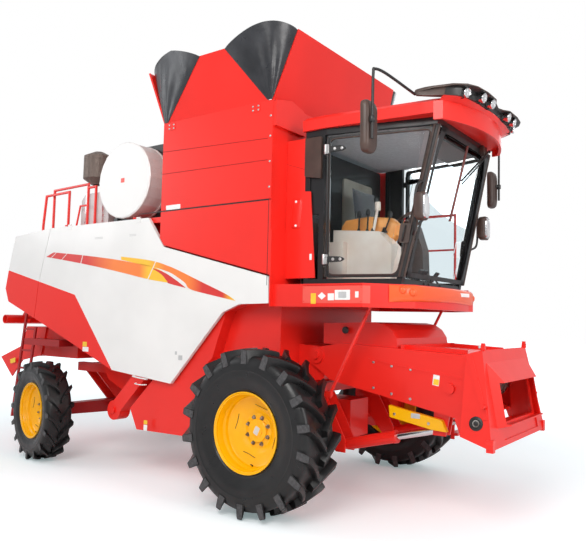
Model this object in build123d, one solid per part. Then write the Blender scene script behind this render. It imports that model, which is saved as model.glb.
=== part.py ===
from build123d import *
from collections import namedtuple
import os
from math import atan2, cos, degrees, hypot, pi, radians, sin, tan

# Self-propelled combine harvester without its cutting table. Millimetres.
# +X is forward, +Y is the machine's left, +Z up. Places along X are written from the drive
# axle, and every piece is moved by AXLE_X at the end, so that the origin lies on the ground
# under the middle of the machine's length.

# Overall
REAR_REACH = 5050.0        # drive axle back to the tip of the straw spreader
FRONT_REACH = 1940.0       # drive axle forward to the lip of the crop mouth
AXLE_X = (REAR_REACH - FRONT_REACH) / 2
WHEELBASE = 3374.0
BODY_HALF = 1100.0         # middle of the machine to the outside of the side shields
GAP = 8.0                  # running clearance between moving sheet metal and its surround
SEAT = 0.3                 # clearance where separate pieces sit on each other
SHEET = 12.0               # folded sheet walls

# Wheels
FRONT_TYRE_R, FRONT_TYRE_W, FRONT_LUG, FRONT_FLANGE_R = 735.0, 467.0, 62.0, 357.0
REAR_TYRE_R, REAR_TYRE_W, REAR_LUG, REAR_FLANGE_R = 580.0, 315.0, 44.0, 328.0
FRONT_DISH, REAR_DISH = 0.0, -30.0            # face of the wheel disc's centre, outwards from mid width
FRONT_FACE_Y, REAR_FACE_Y = 1580.0, 1430.0    # outer walls of the tyres
RIM_SHEET = 12.0
RIM_WELL = 25.0            # depth of the rim's bed below its flange
HUB_R = 135.0              # flat centre of the wheel disc
HUB_HOLE_R = 50.0
TYRE_SIDES = 28
STEER_REST = 11.2          # the rear wheels stand turned by this many degrees
KINGPIN_Y = 1045.0
KINGPIN_R = 26.0

# Body
CORE_BOTTOM, BODY_TOP = 1120.0, 2830.0
CORE_HALF = BODY_HALF - 200.0      # sheet-metal core between the shields
INNER_HALF = BODY_HALF - 60.0      # inner side sheets behind the shields, and the cleaning shoe
SHIELD_T = 40.0
SHIELD_FRONT, SHIELD_SLOPE_X = -124.0, -1575.0
SHIELD_REAR = -3668.0
CORE_REAR = -3600.0
SHOE_BOTTOM = 482.0
HOOD_REAR = -4640.0
HINGE_Z = BODY_TOP + 7.0
HINGE_R, HINGE_PIN_R = 9.0, 4.0

# Frame and axles
RAIL_Y, RAIL_W, RAIL_H = 600.0, 90.0, 110.0
RAIL_TOP = CORE_BOTTOM - SEAT
RAIL_BOTTOM = RAIL_TOP - RAIL_H
RAIL_FRONT, RAIL_OVERHANG = 210.0, 226.0
AXLE_R = 95.0
REAR_BEAM_H, REAR_BEAM_Z, REAR_PIVOT_R = 130.0, 570.0, 45.0

# Grain elevators: centre of the lower boot, slope, and size of the housing
BOOT_X, BOOT_Z, BOOT_R, ELEVATOR_SLOPE, ELEVATOR_LENGTH = -2355.0, 655.0, 110.0, 45.0, 880.0
ELEVATOR_IN, ELEVATOR_OUT = CORE_HALF + SEAT, INNER_HALF + 10.0

# Grain tank and its extension panels
TANK_FRONT, TANK_REAR = -110.0, -1640.0
TANK_FLOOR, TANK_DEPTH = 2585.0, 1275.0
TANK_TOP = TANK_FLOOR + TANK_DEPTH
TANK_WALL = 30.0
FLAP_T = 14.0
FLAP_RISE, FLAP_SIDE_RISE = 688.0, 545.0
FLAP_TOP, FLAP_SIDE_TOP = TANK_TOP + FLAP_RISE, TANK_TOP + FLAP_SIDE_RISE
FLAP_FRONT_LEAN, FLAP_REAR_LEAN, FLAP_SIDE_LEAN = 210.0, 400.0, 200.0
FLAP_SIDE_FRONT_X, FLAP_SIDE_REAR_X = -575.0, -942.0      # ends of the side panels' top edge
GUSSET_T = 7.0

# Cab
CAB_REAR, CAB_REAR_HALF, CAB_POST_X = 110.0, 850.0, 350.0
CAB_FLOOR, CAB_SILL_H, CAB_GLASS_H, CAB_HEADER_H, ROOF_H = 2060.0, 65.0, 1375.0, 60.0, 130.0
CAB_SILL = CAB_FLOOR + CAB_SILL_H
CAB_EAVES = CAB_SILL + CAB_GLASS_H
ROOF_LOW = CAB_EAVES + CAB_HEADER_H + SEAT
CAB_ROOF = ROOF_LOW + ROOF_H
PILLAR_FOOT_X, PILLAR_HEAD_X, PILLAR_HEAD_HALF = 1075.0, 1385.0, 640.0
PILLAR_W = 56.0
BASE_HALF, BASE_BOTTOM, BASE_FRONT, BASE_NOSE_HALF = BODY_HALF - 50.0, 1850.0, 1199.0, 680.0
BASE_REAR = TANK_FRONT + 2 * SEAT + SHEET
STRUT_Y, STRUT_FOOT_X, STRUT_FOOT_Z, STRUT_HEAD_X = 803.0, 404.0, 1043.0, 831.0
STRUT_EYE_HALF = 17.0
DOOR_T = 12.0
DOOR_HINGE_R, DOOR_PIN_R = 13.0, 6.0

# Feeder house and header frame
PIVOT_X, PIVOT_Z, PIVOT_R = 130.0, 1390.0, 38.0
FEEDER_HALF, FEEDER_SHEET, FEEDER_FRONT = 620.0, 16.0, 1640.0
HOUSING_HALF = FEEDER_HALF - 40.0      # threshing housing between the feeder's side walls
FRAME_TOP_X, FRAME_TOP_Z, FRAME_TOP_HALF = 1777.0, 1509.0, 605.0
FRAME_FOOT_X, FRAME_FOOT_Z, FRAME_FOOT_HALF = 1914.0, 718.0, 770.0
FRAME_SKIN = 20.0
MOUTH_HALF, MOUTH_LOW, MOUTH_HIGH = 500.0, 900.0, 1290.0
DRUM_FRONT_X, DRUM_FRONT_Z, DRUM_FRONT_R = 1500.0, 1170.0, 130.0
CHAIN_REAR_X, CHAIN_REAR_Z, CHAIN_REAR_R = 385.0, 1300.0, 78.0

# Lift cylinders
RAM_Y, RAM_REAR_X, RAM_REAR_Z, RAM_FRONT_X, RAM_FRONT_Z = 500.0, 392.0, 545.0, 1386.0, 800.0
RAM_TUBE_LENGTH, RAM_TUBE_R, RAM_ROD_R, RAM_PIN_R = 575.0, 56.0, 32.0, 20.0
RAM_CHEEK = 16.0

# Engine deck
DRUM_X, DRUM_Z, DRUM_R, DRUM_DEPTH = -2290.0, 3300.0, 448.0, 300.0
DECK_Z = BODY_TOP + SEAT
AUGER_X, AUGER_Y, AUGER_R, AUGER_TURN_Z = -1000.0, BODY_HALF + 190.0, 150.0, 3120.0
AUGER_TOP_Z, AUGER_END_X, AUGER_END_Z = 3290.0, -4700.0, 3000.0


def box(x0, x1, y0, y1, z0, z1):
    middle = Pos((x0 + x1) / 2, (y0 + y1) / 2, (z0 + z1) / 2)
    return middle * Box(abs(x1 - x0), abs(y1 - y0), abs(z1 - z0))


def side_profile(points, y0, y1):
    """Extrude an (x, z) outline across the machine from y0 to y1."""
    face = make_face(Polyline(*points, close=True))
    return extrude(Plane.XZ.offset(-max(y0, y1)) * face, amount=abs(y1 - y0))


def end_profile(points, x0, x1):
    """Extrude a (y, z) outline along the machine from x0 to x1."""
    face = make_face(Polyline(*points, close=True))
    return extrude(Plane.YZ.offset(min(x0, x1)) * face, amount=abs(x1 - x0))


def plan_profile(points, z0, z1):
    """Extrude an (x, y) outline upwards from z0 to z1."""
    face = make_face(Polyline(*points, close=True))
    return extrude(Plane.XY.offset(z0) * face, amount=z1 - z0)


def shaft_y(x, z, y0, y1, r):
    disc = Plane.XZ.offset(-max(y0, y1)) * Pos(x, z) * Circle(r)
    return extrude(disc, amount=abs(y1 - y0))


def bar(start, end, r):
    a, b = Vector(*start), Vector(*end)
    return extrude(Plane(a, z_dir=b - a) * Circle(r), amount=(b - a).length)


def flat_bar(start, end, r, sides=8):
    """A bar with flat sides, for rods that nothing turns on."""
    a, b = Vector(*start), Vector(*end)
    return extrude(Plane(a, z_dir=b - a) * RegularPolygon(r, sides), amount=(b - a).length)


def pipe(points, r, sides=6):
    """A bent tube with flat sides and mitred corners."""
    path = Polyline(*points)
    return sweep(Plane(path @ 0, z_dir=path % 0) * RegularPolygon(r, sides), path=path,
                 transition=Transition.RIGHT)


def drum_y(x, z, y0, y1, r, sides=16):
    """A flat-sided drum across the machine, for housings that nothing turns on."""
    return extrude(Plane.XZ.offset(-max(y0, y1)) * Pos(x, z) * RegularPolygon(r, sides),
                   amount=abs(y1 - y0))


def mirrored(shape):
    return mirror(shape, about=Plane.XZ)


def both(shape):
    return [shape, mirrored(shape)]


def polyhedron(points, faces):
    """A closed solid with flat faces, each a list of indices into points."""
    flat = [Face(Wire.make_polygon([Vector(*points[i]) for i in f], close=True)) for f in faces]
    solid = Solid(Shell(flat))
    return solid if solid.volume > 0 else Solid(Shell([-face for face in flat]))


def between(lower, upper):
    """A solid between two flat outlines with the same number of corners."""
    count = len(lower)
    faces = [tuple(range(count)), tuple(range(2 * count - 1, count - 1, -1))]
    for i in range(count):
        j = (i + 1) % count
        faces += [(j, i, count + i), (j, count + i, count + j)]
    return polyhedron(lower + upper, faces)


def curtain(near, far, shift):
    """A thin panel ruled from one row of points to another, with its thickness along shift."""
    count = len(near)
    front = near + far
    points = front + [tuple(a + b for a, b in zip(p, shift)) for p in front]
    back = len(front)
    faces = []
    for i in range(count - 1):
        j, up, over = i + 1, count + i, count + i + 1
        faces += [(i, j, over), (i, over, up), (back + j, back + i, back + over),
                  (back + over, back + i, back + up)]
    loop = list(range(count)) + list(range(2 * count - 1, count - 1, -1))
    for i, here in enumerate(loop):
        there = loop[(i + 1) % len(loop)]
        faces += [(there, here, back + here), (there, back + here, back + there)]
    return polyhedron(points, faces)


def flat_ring(outline, sides):
    """Turn an (r, y) outline about the Y axis in flat facets; r is met at the facets' corners."""
    count = len(outline)
    points = []
    for step in range(sides):
        a = 2 * pi * (step + 0.5) / sides
        points += [(r * sin(a), y, -r * cos(a)) for r, y in outline]
    faces = []
    for step in range(sides):
        here, there = step * count, (step + 1) % sides * count
        for i in range(count):
            j = (i + 1) % count
            faces.append((here + i, here + j, there + j, there + i))
    return polyhedron(points, faces)


nodes = {}


def keep(name, *shapes):
    gathered = []
    for shape in shapes:
        gathered.extend(shape.solids())
    nodes[name] = gathered[0] if len(gathered) == 1 else Compound(children=gathered)


# Wheels, each about its own hub with +Y outwards
Wheel = namedtuple("Wheel", "radius width lug flange face dish bars")
WHEELS = {
    "front": Wheel(FRONT_TYRE_R, FRONT_TYRE_W, FRONT_LUG, FRONT_FLANGE_R, FRONT_FACE_Y, FRONT_DISH, 18),
    "rear": Wheel(REAR_TYRE_R, REAR_TYRE_W, REAR_LUG, REAR_FLANGE_R, REAR_FACE_Y, REAR_DISH, 16),
}
FRONT, REAR = WHEELS["front"], WHEELS["rear"]
BEAD_SHARE = 0.8           # seat of the tyre's beads, as a share of its half width
LUG_FOOT_SINK = 12.0       # how far a bar of the tread is rooted in the casing
front_y = FRONT.face - FRONT.width / 2
rear_offset = REAR.face - REAR.width / 2 - KINGPIN_Y
front_disc_y = front_y + FRONT.dish - RIM_SHEET
rear_disc_offset = rear_offset + REAR.dish - RIM_SHEET


def lug(outer, foot, half, start, sweep_angle, side):
    """One bar of the tread, from its middle to the shoulder, swept back by sweep_angle."""
    inner_half_angle, outer_half_angle = 0.042, 0.062
    corners = []
    for angle, y, spread in ((start, 4.0 * side, inner_half_angle),
                             (start + sweep_angle, side * half, outer_half_angle)):
        for radius in (foot, outer):
            if radius == foot and abs(y) > half / 2:
                radius = foot - (outer - foot)
            for turn in (-spread, spread):
                a = angle + turn * outer / max(radius, outer * 0.9)
                corners.append((radius * sin(a), y, -radius * cos(a)))
    # corners: 0 1 inner foot, 2 3 inner top, 4 5 outer foot, 6 7 outer top
    faces = [(0, 1, 3, 2), (4, 6, 7, 5), (0, 2, 4), (2, 6, 4), (1, 5, 3), (3, 5, 7),
             (2, 3, 6), (3, 7, 6), (0, 4, 1), (1, 4, 5)]
    return polyhedron(corners, faces)


def tyre(wheel):
    tread, half = wheel.radius - wheel.lug, wheel.width / 2
    bead = half * BEAD_SHARE
    inner = (wheel.flange - RIM_WELL + SEAT) / cos(pi / TYRE_SIDES)
    foot = wheel.flange + SHEET
    wall = wheel.flange + (tread - wheel.flange) * 0.55
    shoulder = tread - 55
    outline = [(inner, -bead), (foot, -bead), (wall, -half + 2), (shoulder, -half + 8),
               (tread, -half * 0.7),
               (tread, half * 0.7), (shoulder, half - 8), (wall, half - 2), (foot, bead), (inner, bead)]
    body = flat_ring(outline, TYRE_SIDES)
    pitch = 2 * pi / wheel.bars
    sweep_angle = 0.8 * pitch
    bars = []
    for index in range(round(wheel.bars)):
        for side, lead in ((1, 0.8), (-1, 0.3)):
            start = (index - lead) * pitch
            bars.append(lug(wheel.radius, tread - LUG_FOOT_SINK, half, start, sweep_angle, side))
    return body.fuse(*bars)


def rim(wheel):
    bead = wheel.width / 2 * BEAD_SHARE + SEAT
    bed, t = wheel.flange - RIM_WELL, RIM_SHEET
    face, shoulder = wheel.dish, wheel.dish + 60
    outline = [(wheel.flange, bead + t), (wheel.flange, bead), (bed, bead), (bed, -bead),
               (wheel.flange, -bead),
               (wheel.flange, -bead - t), (bed - t, -bead - t), (bed - t, shoulder - 2 * t), (HUB_R + 30,
                                                                                              face),
               (HUB_R, face - t), (HUB_HOLE_R, face - t), (HUB_HOLE_R, face), (HUB_R, face),
               (bed - t, shoulder), (bed - t, bead + t)]
    return flat_ring(outline, TYRE_SIDES)


def place_front(shape, side):
    placed = Pos(0, front_y, FRONT.radius) * shape
    return placed if side > 0 else mirrored(placed)


def steered(shape, side):
    """A piece drawn about the left kingpin with the wheel straight ahead, put on either side as it stands."""
    if side < 0:
        shape = mirrored(shape)
    return Pos(-WHEELBASE, side * KINGPIN_Y, REAR.radius) * Rot(0, 0, -STEER_REST) * shape


def make_wheels():
    shapes = {tag: (tyre(wheel), rim(wheel)) for tag, wheel in WHEELS.items()}
    for letter, side in (("r", -1), ("l", 1)):
        for index, piece in enumerate(("tyre", "rim")):
            keep(f"front_{piece}_{letter}", place_front(shapes["front"][index], side))
            keep(f"rear_{piece}_{letter}", steered(Pos(0, rear_offset, 0) * shapes["rear"][index], side))


# Frame and axles
def make_frame():
    rail_rear = -WHEELBASE - RAIL_OVERHANG
    rail = box(rail_rear, RAIL_FRONT, RAIL_Y - RAIL_W / 2, RAIL_Y + RAIL_W / 2, RAIL_BOTTOM, RAIL_TOP)
    frame = rail + mirrored(rail)
    cross_half, cross_inset = 45, 10
    for x in (-WHEELBASE - 126, -WHEELBASE + 924, -620, 100):
        frame += box(x - cross_half, x + cross_half, -RAIL_Y, RAIL_Y, RAIL_BOTTOM + cross_inset,
                     RAIL_TOP - cross_inset)

    hanger_half = 30
    ram_plate = [(RAM_REAR_X - 45, RAM_REAR_Z - 60), (RAM_REAR_X + 55, RAM_REAR_Z - 60),
                 (RAM_REAR_X + 55, RAM_REAR_Z + 60), (RAIL_FRONT, RAIL_BOTTOM + 20), (60, RAIL_BOTTOM + 20),
                 (60, RAIL_BOTTOM - 40), (120, FRONT.radius + 20)]
    for side in (-1, 1):
        frame += box(-120, 120, side * (RAIL_Y - hanger_half), side * (RAIL_Y + hanger_half),
                     FRONT.radius + AXLE_R + SEAT, RAIL_BOTTOM)
        for offset in (-75 - RAM_CHEEK, 75):
            frame += side_profile(ram_plate, side * (RAM_Y + offset), side * (RAM_Y + offset + RAM_CHEEK))
        frame += shaft_y(RAM_REAR_X, RAM_REAR_Z, side * (RAM_Y - 75 - RAM_CHEEK),
                         side * (RAM_Y + 75 + RAM_CHEEK),
                         RAM_PIN_R)
        # foot bracket of the cab strut
        lug_in = STRUT_Y + STRUT_EYE_HALF + SEAT
        foot = (STRUT_FOOT_X, STRUT_FOOT_Z)
        frame += side_profile([(foot[0] - 75, foot[1] - 30), (foot[0] + 30, foot[1] - 30),
                               (foot[0] + 30, foot[1] + 30),
                               (foot[0] - 75, foot[1] + 30)], side * lug_in, side * (lug_in + 16))
        frame += flat_bar((180, side * (RAIL_Y + 20), RAIL_TOP - 50),
                          (foot[0] - 50, side * (lug_in + 14), foot[1]), 20)

    for x in (-WHEELBASE - 105, -WHEELBASE + 105):
        frame += end_profile([(-RAIL_Y, RAIL_BOTTOM + 20), (RAIL_Y, RAIL_BOTTOM + 20),
                              (RAIL_Y, RAIL_BOTTOM),
                              (130, REAR_BEAM_Z - 75), (-130, REAR_BEAM_Z - 75), (-RAIL_Y, RAIL_BOTTOM)],
                             x - SHEET, x + SHEET)
    frame -= Pos(-WHEELBASE, 0, REAR_BEAM_Z) * Rot(0, 90, 0) * Cylinder(REAR_PIVOT_R + SEAT, 300)
    keep("main_frame", frame)

    axle = shaft_y(0, FRONT.radius, -front_disc_y + 70, front_disc_y - 70, AXLE_R)
    axle += box(-230, 260, -180, 180, FRONT.radius - 190, FRONT.radius + 190)
    for side in (-1, 1):
        axle += drum_y(0, FRONT.radius, side * 180, side * 260, 150)
        axle += drum_y(0, FRONT.radius, side * 760, side * 1000, 205)
        axle += drum_y(0, FRONT.radius, side * 1000, side * 1030, 170)
        axle += drum_y(0, FRONT.radius, side * (front_disc_y - 90), side * (front_disc_y - SEAT),
                       HUB_R - 10)
    keep("drive_axle", axle)

    beam_end = KINGPIN_Y - 40
    half_h = REAR_BEAM_H / 2
    beam = end_profile([(-beam_end, REAR_BEAM_Z - half_h), (-300, REAR_BEAM_Z - half_h - 25),
                        (300, REAR_BEAM_Z - half_h - 25), (beam_end, REAR_BEAM_Z - half_h),
                        (beam_end, REAR_BEAM_Z + half_h), (-beam_end, REAR_BEAM_Z + half_h)],
                       -WHEELBASE - 70, -WHEELBASE + 70)
    beam += Pos(-WHEELBASE, 0, REAR_BEAM_Z) * Rot(0, 90, 0) * Cylinder(REAR_PIVOT_R, 260)
    for side in (-1, 1):
        # clevis of the steering cylinder
        beam += box(-WHEELBASE + 70, -WHEELBASE + 150, side * 280, side * 320, REAR_BEAM_Z - 20,
                    REAR_BEAM_Z + 20)
        eye = Pos(-WHEELBASE, side * KINGPIN_Y, REAR_BEAM_Z) * Cylinder(62, REAR_BEAM_H)
        eye -= Pos(-WHEELBASE, side * KINGPIN_Y, REAR_BEAM_Z) * Cylinder(KINGPIN_R + SEAT, REAR_BEAM_H)
        beam += eye
    beam += drum_y(-WHEELBASE + 160, REAR_BEAM_Z, -340, 340, 32, 8)
    keep("rear_axle", beam)

    for letter, side in (("r", -1), ("l", 1)):
        rise = REAR_BEAM_Z - REAR.radius
        ear = half_h + GAP / 2 + 20
        fork = Cylinder(KINGPIN_R, REAR_BEAM_H + 100)
        for end in (-1, 1):
            fork += Pos(0, 0, end * ear - 20) * extrude(RegularPolygon(60, 12), amount=40)
            fork += Pos(0, 55, end * ear) * Box(100, 90, 40)
        fork += Pos(0, 85, 0) * Box(100, 30, REAR_BEAM_H + GAP + 80)
        fork = Pos(0, 0, rise) * fork
        hub_end = rear_disc_offset - SEAT
        fork += Pos(0, (95 + hub_end) / 2, 0) * Rot(90, 0, 0) * Cylinder(50, hub_end - 95)
        fork += drum_y(0, 0, hub_end - 30, hub_end, HUB_R - 20)
        keep("knuckle_" + letter, steered(fork, side))


# Body
def hinge_row(stations, r, length):
    """Barrels on the side shields' hinge line, each at the given x."""
    barrels = [Pos(x, BODY_HALF, HINGE_Z) * Rot(0, 90, 0) * Cylinder(r, length) for x in stations]
    return barrels


SHIELD_OUTLINE = [(SHIELD_REAR, 2825), (-1840, 2825), (SHIELD_SLOPE_X, 2487), (SHIELD_FRONT, 2135),
                  (SHIELD_FRONT + 8, 1879), (-484, 1869), (-699, 1785), (-1400, 1028), (-2368, 1113),
                  (-3934, 1676), (-3873, 2130)]
HOOD_OUTLINE = [(SHIELD_REAR - GAP, 2825), (-3873 - GAP, 2130), (-3934 - GAP, 1676), (-4557, 1891),
                (HOOD_REAR, 2066), (-4579, 2342), (-4463, 2763)]
HOOD_SHEET = 30.0
HINGE_STATIONS = (-3300.0, -2030.0)
HINGE_LENGTH = 60.0


def make_body():
    front = TANK_FRONT + SEAT
    core = side_profile([(front, 1860), (front, 1300), (-650, CORE_BOTTOM), (-2400, CORE_BOTTOM),
                         (CORE_REAR, 1480), (CORE_REAR, BODY_TOP), (TANK_REAR - 20, BODY_TOP),
                         (TANK_REAR - 20, TANK_FLOOR - SEAT), (front,
                                                               TANK_FLOOR - SEAT)], -CORE_HALF, CORE_HALF)
    core += box(front, front + SHEET, -BODY_HALF, BODY_HALF, BASE_BOTTOM, TANK_FLOOR - SEAT)
    deck_half = BODY_HALF - SHIELD_T - GAP
    core += box(CORE_REAR, TANK_REAR - 20, -deck_half, deck_half, BODY_TOP - 60, BODY_TOP)
    # inner side sheets above the cleaning shoe, seen behind the front wheel
    core += side_profile([(-1650, CORE_BOTTOM), (-960, CORE_BOTTOM), (-950, 1246), (-869, 1321),
                          (-804, 1506),
                          (-690, 1800), (-484, 1880), (front, 1900), (front, 2100), (-1650, 2400)],
                         -INNER_HALF, INNER_HALF)
    core += side_profile([(front, RAIL_TOP + SEAT), (180, 1150), (225, 1300), (225, 1440), (110, 1475),
                          (front, 1485)],
                         -HOUSING_HALF, HOUSING_HALF)
    core -= shaft_y(PIVOT_X, PIVOT_Z, -HOUSING_HALF, HOUSING_HALF, PIVOT_R)
    core += shaft_y(PIVOT_X, PIVOT_Z, -FEEDER_HALF - 40, FEEDER_HALF + 40, PIVOT_R)
    # inner frames that carry the rear hood
    for side in (-1, 1):
        core += side_profile([(CORE_REAR + 60, 2780), (-4300, 2700), (-4400, 2120), (-4200, 2060),
                              (CORE_REAR + 60, 1900)],
                             side * (deck_half - 22), side * deck_half)
        core += box(CORE_REAR, CORE_REAR + 60, side * CORE_HALF, side * deck_half, 1900, BODY_TOP - 60)
        core += box(-4280, -4100, side * deck_half, side * (BODY_HALF - HOOD_SHEET - SEAT), 2200, 2500)
    pins = []
    for x in HINGE_STATIONS:
        middle = x - HINGE_LENGTH / 2
        barrel = hinge_row((middle,), HINGE_R, HINGE_LENGTH)[0]
        pin = hinge_row((x,), HINGE_PIN_R, 2 * HINGE_LENGTH)[0]
        leaf = box(middle - HINGE_LENGTH / 2, middle + HINGE_LENGTH / 2, deck_half - 60, BODY_HALF,
                   BODY_TOP, BODY_TOP + 6)
        pins += both(barrel + pin + leaf)
    for pin in pins:
        core += pin
    keep("threshing_body", core)

    shoe_top = CORE_BOTTOM - SEAT
    shoe = side_profile([(-2087, 702), (-1967, SHOE_BOTTOM), (-1103, SHOE_BOTTOM + 16), (-850, 760),
                         (-790, shoe_top), (-1650, shoe_top)], -INNER_HALF, INNER_HALF)
    shoe += side_profile([(-1640, shoe_top), (-2070, 690), (-2250, 760), (-2750, 960), (-2880, shoe_top)],
                         -820, 820)
    for side in (-1, 1):
        shoe -= box(-3000, 0, side * (RAIL_Y - RAIL_W / 2 - SEAT), side * (RAIL_Y + RAIL_W / 2 + SEAT),
                    RAIL_BOTTOM - SEAT, CORE_BOTTOM)
    cross = -WHEELBASE + 924
    shoe -= box(cross - 45 - SEAT, cross + 45 + SEAT, -RAIL_Y, RAIL_Y, RAIL_BOTTOM, CORE_BOTTOM)
    keep("cleaning_shoe", shoe)

    width = ELEVATOR_OUT - ELEVATOR_IN
    arm = Pos(ELEVATOR_LENGTH / 2, 0, 0) * Box(ELEVATOR_LENGTH, 2 * BOOT_R - 60, width)
    arm += Cylinder(BOOT_R, width)
    arm += Pos(0, 0, -width / 2 - 12) * Cylinder(36, 24)
    arm = Rot(90, 0, 0) * arm
    arm = Pos(BOOT_X, (ELEVATOR_IN + ELEVATOR_OUT) / 2, BOOT_Z) * Rot(0, -ELEVATOR_SLOPE, 0) * arm
    keep("grain_elevators", *both(arm))

    shell = side_profile(HOOD_OUTLINE, -BODY_HALF, BODY_HALF)
    t = HOOD_SHEET
    inner = [(CORE_REAR, 2825 - t), (CORE_REAR, 1500), (-3934, 1500), (-4557, 1840), (HOOD_REAR + t, 2066),
             (-4579 + t, 2342), (-4463 + t, 2763 - t)]
    shell -= side_profile(inner, -BODY_HALF + t, BODY_HALF - t)
    keep("rear_hood", shell)

    for letter, side in (("r", -1), ("l", 1)):
        shield = side_profile(SHIELD_OUTLINE, BODY_HALF - SHIELD_T, BODY_HALF)
        for x in HINGE_STATIONS:
            middle = x + HINGE_LENGTH / 2 + 1
            barrel = hinge_row((middle,), HINGE_R, HINGE_LENGTH)[0]
            leaf = box(middle - HINGE_LENGTH / 2, middle + HINGE_LENGTH / 2, BODY_HALF - 3, BODY_HALF + 5,
                       2780, HINGE_Z)
            shield += barrel + leaf
            shield -= hinge_row((middle,), HINGE_PIN_R + SEAT, HINGE_LENGTH + 4)[0]
        keep("side_shield_" + letter, shield if side > 0 else mirrored(shield))


# Grain tank
SEAM_Z = 2880.0            # open joint between the tank's upper and lower side panels


def make_tank():
    tank = box(TANK_REAR, TANK_FRONT, -BODY_HALF, BODY_HALF, TANK_FLOOR, TANK_TOP)
    slope_top = TANK_FLOOR + 515
    hollow = end_profile([(-BODY_HALF + TANK_WALL, TANK_TOP), (-BODY_HALF + TANK_WALL, slope_top),
                          (-200, TANK_FLOOR + 60), (200, TANK_FLOOR + 60), (BODY_HALF - TANK_WALL,
                                                                            slope_top),
                          (BODY_HALF - TANK_WALL, TANK_TOP)], TANK_REAR + TANK_WALL, TANK_FRONT - TANK_WALL)
    tank -= hollow
    skirt = side_profile([(TANK_REAR, TANK_FLOOR + 60), (TANK_FRONT, TANK_FLOOR + 60), (TANK_FRONT, 2150),
                          (SHIELD_SLOPE_X, 2505), (TANK_REAR, 2588)], BODY_HALF - SHIELD_T, BODY_HALF)
    tank += skirt + mirrored(skirt)
    for side in (-1, 1):
        tank -= box(TANK_REAR + 40, TANK_FRONT, side * (BODY_HALF - 14), side * BODY_HALF, SEAM_Z - 7,
                    SEAM_Z + 7)
    # raised corner plates beside the front panel's hinges, clear of the panel itself
    tab = end_profile([(-BODY_HALF, TANK_TOP - 260), (-BODY_HALF, TANK_TOP - 10), (-850, TANK_TOP + 45),
                       (-640, TANK_TOP), (-600, TANK_TOP - 60), (-600, TANK_TOP - 260)],
                      TANK_FRONT + 28, TANK_FRONT + 36)
    foot = box(TANK_FRONT, TANK_FRONT + 36, -BODY_HALF, -600, TANK_TOP - 260, TANK_TOP - 20)
    tank += foot + tab
    tank += mirrored(foot + tab)
    keep("grain_tank", tank)

    low = TANK_TOP + SEAT
    corner = 100
    front = side_profile([(TANK_FRONT - FLAP_T, low), (TANK_FRONT, low),
                          (TANK_FRONT + FLAP_FRONT_LEAN, FLAP_TOP),
                          (TANK_FRONT + FLAP_FRONT_LEAN - FLAP_T, FLAP_TOP)], -BODY_HALF, BODY_HALF)
    rear = side_profile([(TANK_REAR, low), (TANK_REAR + FLAP_T, low),
                         (TANK_REAR - FLAP_REAR_LEAN + FLAP_T, FLAP_TOP),
                         (TANK_REAR - FLAP_REAR_LEAN, FLAP_TOP)], -BODY_HALF, BODY_HALF)
    end_cut = end_profile([(-BODY_HALF, low), (BODY_HALF, low), (BODY_HALF - corner, FLAP_TOP),
                           (-BODY_HALF + corner, FLAP_TOP)], TANK_REAR - 600, TANK_FRONT + 600)
    side = end_profile([(BODY_HALF - FLAP_T, low), (BODY_HALF, low),
                        (BODY_HALF + FLAP_SIDE_LEAN, FLAP_SIDE_TOP),
                        (BODY_HALF + FLAP_SIDE_LEAN - FLAP_T, FLAP_SIDE_TOP)], TANK_REAR, TANK_FRONT)
    side &= side_profile([(TANK_REAR + 60, low), (TANK_FRONT - 60, low), (FLAP_SIDE_FRONT_X, FLAP_SIDE_TOP),
                          (FLAP_SIDE_REAR_X, FLAP_SIDE_TOP)], 0, BODY_HALF + 400)
    # folded flanges along the sloping edges of the end panels
    flange_w = 26
    for end_x, lean, way in ((TANK_FRONT, FLAP_FRONT_LEAN, -1), (TANK_REAR, -FLAP_REAR_LEAN, 1)):
        lower = [(end_x, BODY_HALF, low), (end_x, BODY_HALF - 8, low),
                 (end_x + way * flange_w, BODY_HALF - 8, low),
                 (end_x + way * flange_w, BODY_HALF, low)]
        upper = [(x + lean, y - corner, FLAP_TOP) for x, y, z in lower]
        flange = between(lower, upper)
        if way < 0:
            front += flange + mirrored(flange)
        else:
            rear += flange + mirrored(flange)
    front &= end_cut
    rear &= end_cut
    keep("tank_flaps", front, rear, side, mirrored(side))

    # rubber corners, seated on the side panels' outer faces and on the end panels' flanges
    gussets = []
    steps, lap, flange_mid, off, drop = 10, 10, 14, 3 * SEAT, 4
    for root_x, side_x, lean, bulge in ((TANK_FRONT, FLAP_SIDE_FRONT_X, FLAP_FRONT_LEAN, (150, 165, 90)),
                                        (TANK_REAR, FLAP_SIDE_REAR_X, FLAP_REAR_LEAN, (-70, 165, 80))):
        way = 1 if root_x == TANK_FRONT else -1
        side_share = 1 - drop / FLAP_SIDE_RISE
        end_share = 1 - drop / FLAP_RISE
        side_foot = (root_x - way * (60 + lap), BODY_HALF + off, low + 2)
        end_foot = (root_x - way * flange_mid, BODY_HALF + off, low + 2)
        side_end = (side_x - way * lap, BODY_HALF + FLAP_SIDE_LEAN * side_share + off, FLAP_SIDE_TOP - drop)
        top_end = (root_x + way * (lean * end_share - flange_mid), BODY_HALF - corner * end_share + off,
                   FLAP_TOP - drop)
        near, far = [], []
        for step in range(steps + 1):
            s = step / steps
            far.append(tuple(a + (b - a) * s + push * sin(pi * s) for a, b,
                             push in zip(side_end, top_end, bulge)))
            near.append(tuple(a + (b - a) * s for a, b in zip(side_foot, end_foot)))
        gussets += both(curtain(near, far, (way * GUSSET_T * 0.6, GUSSET_T * 0.8, 0)))
    keep("tank_gussets", *gussets)


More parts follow.
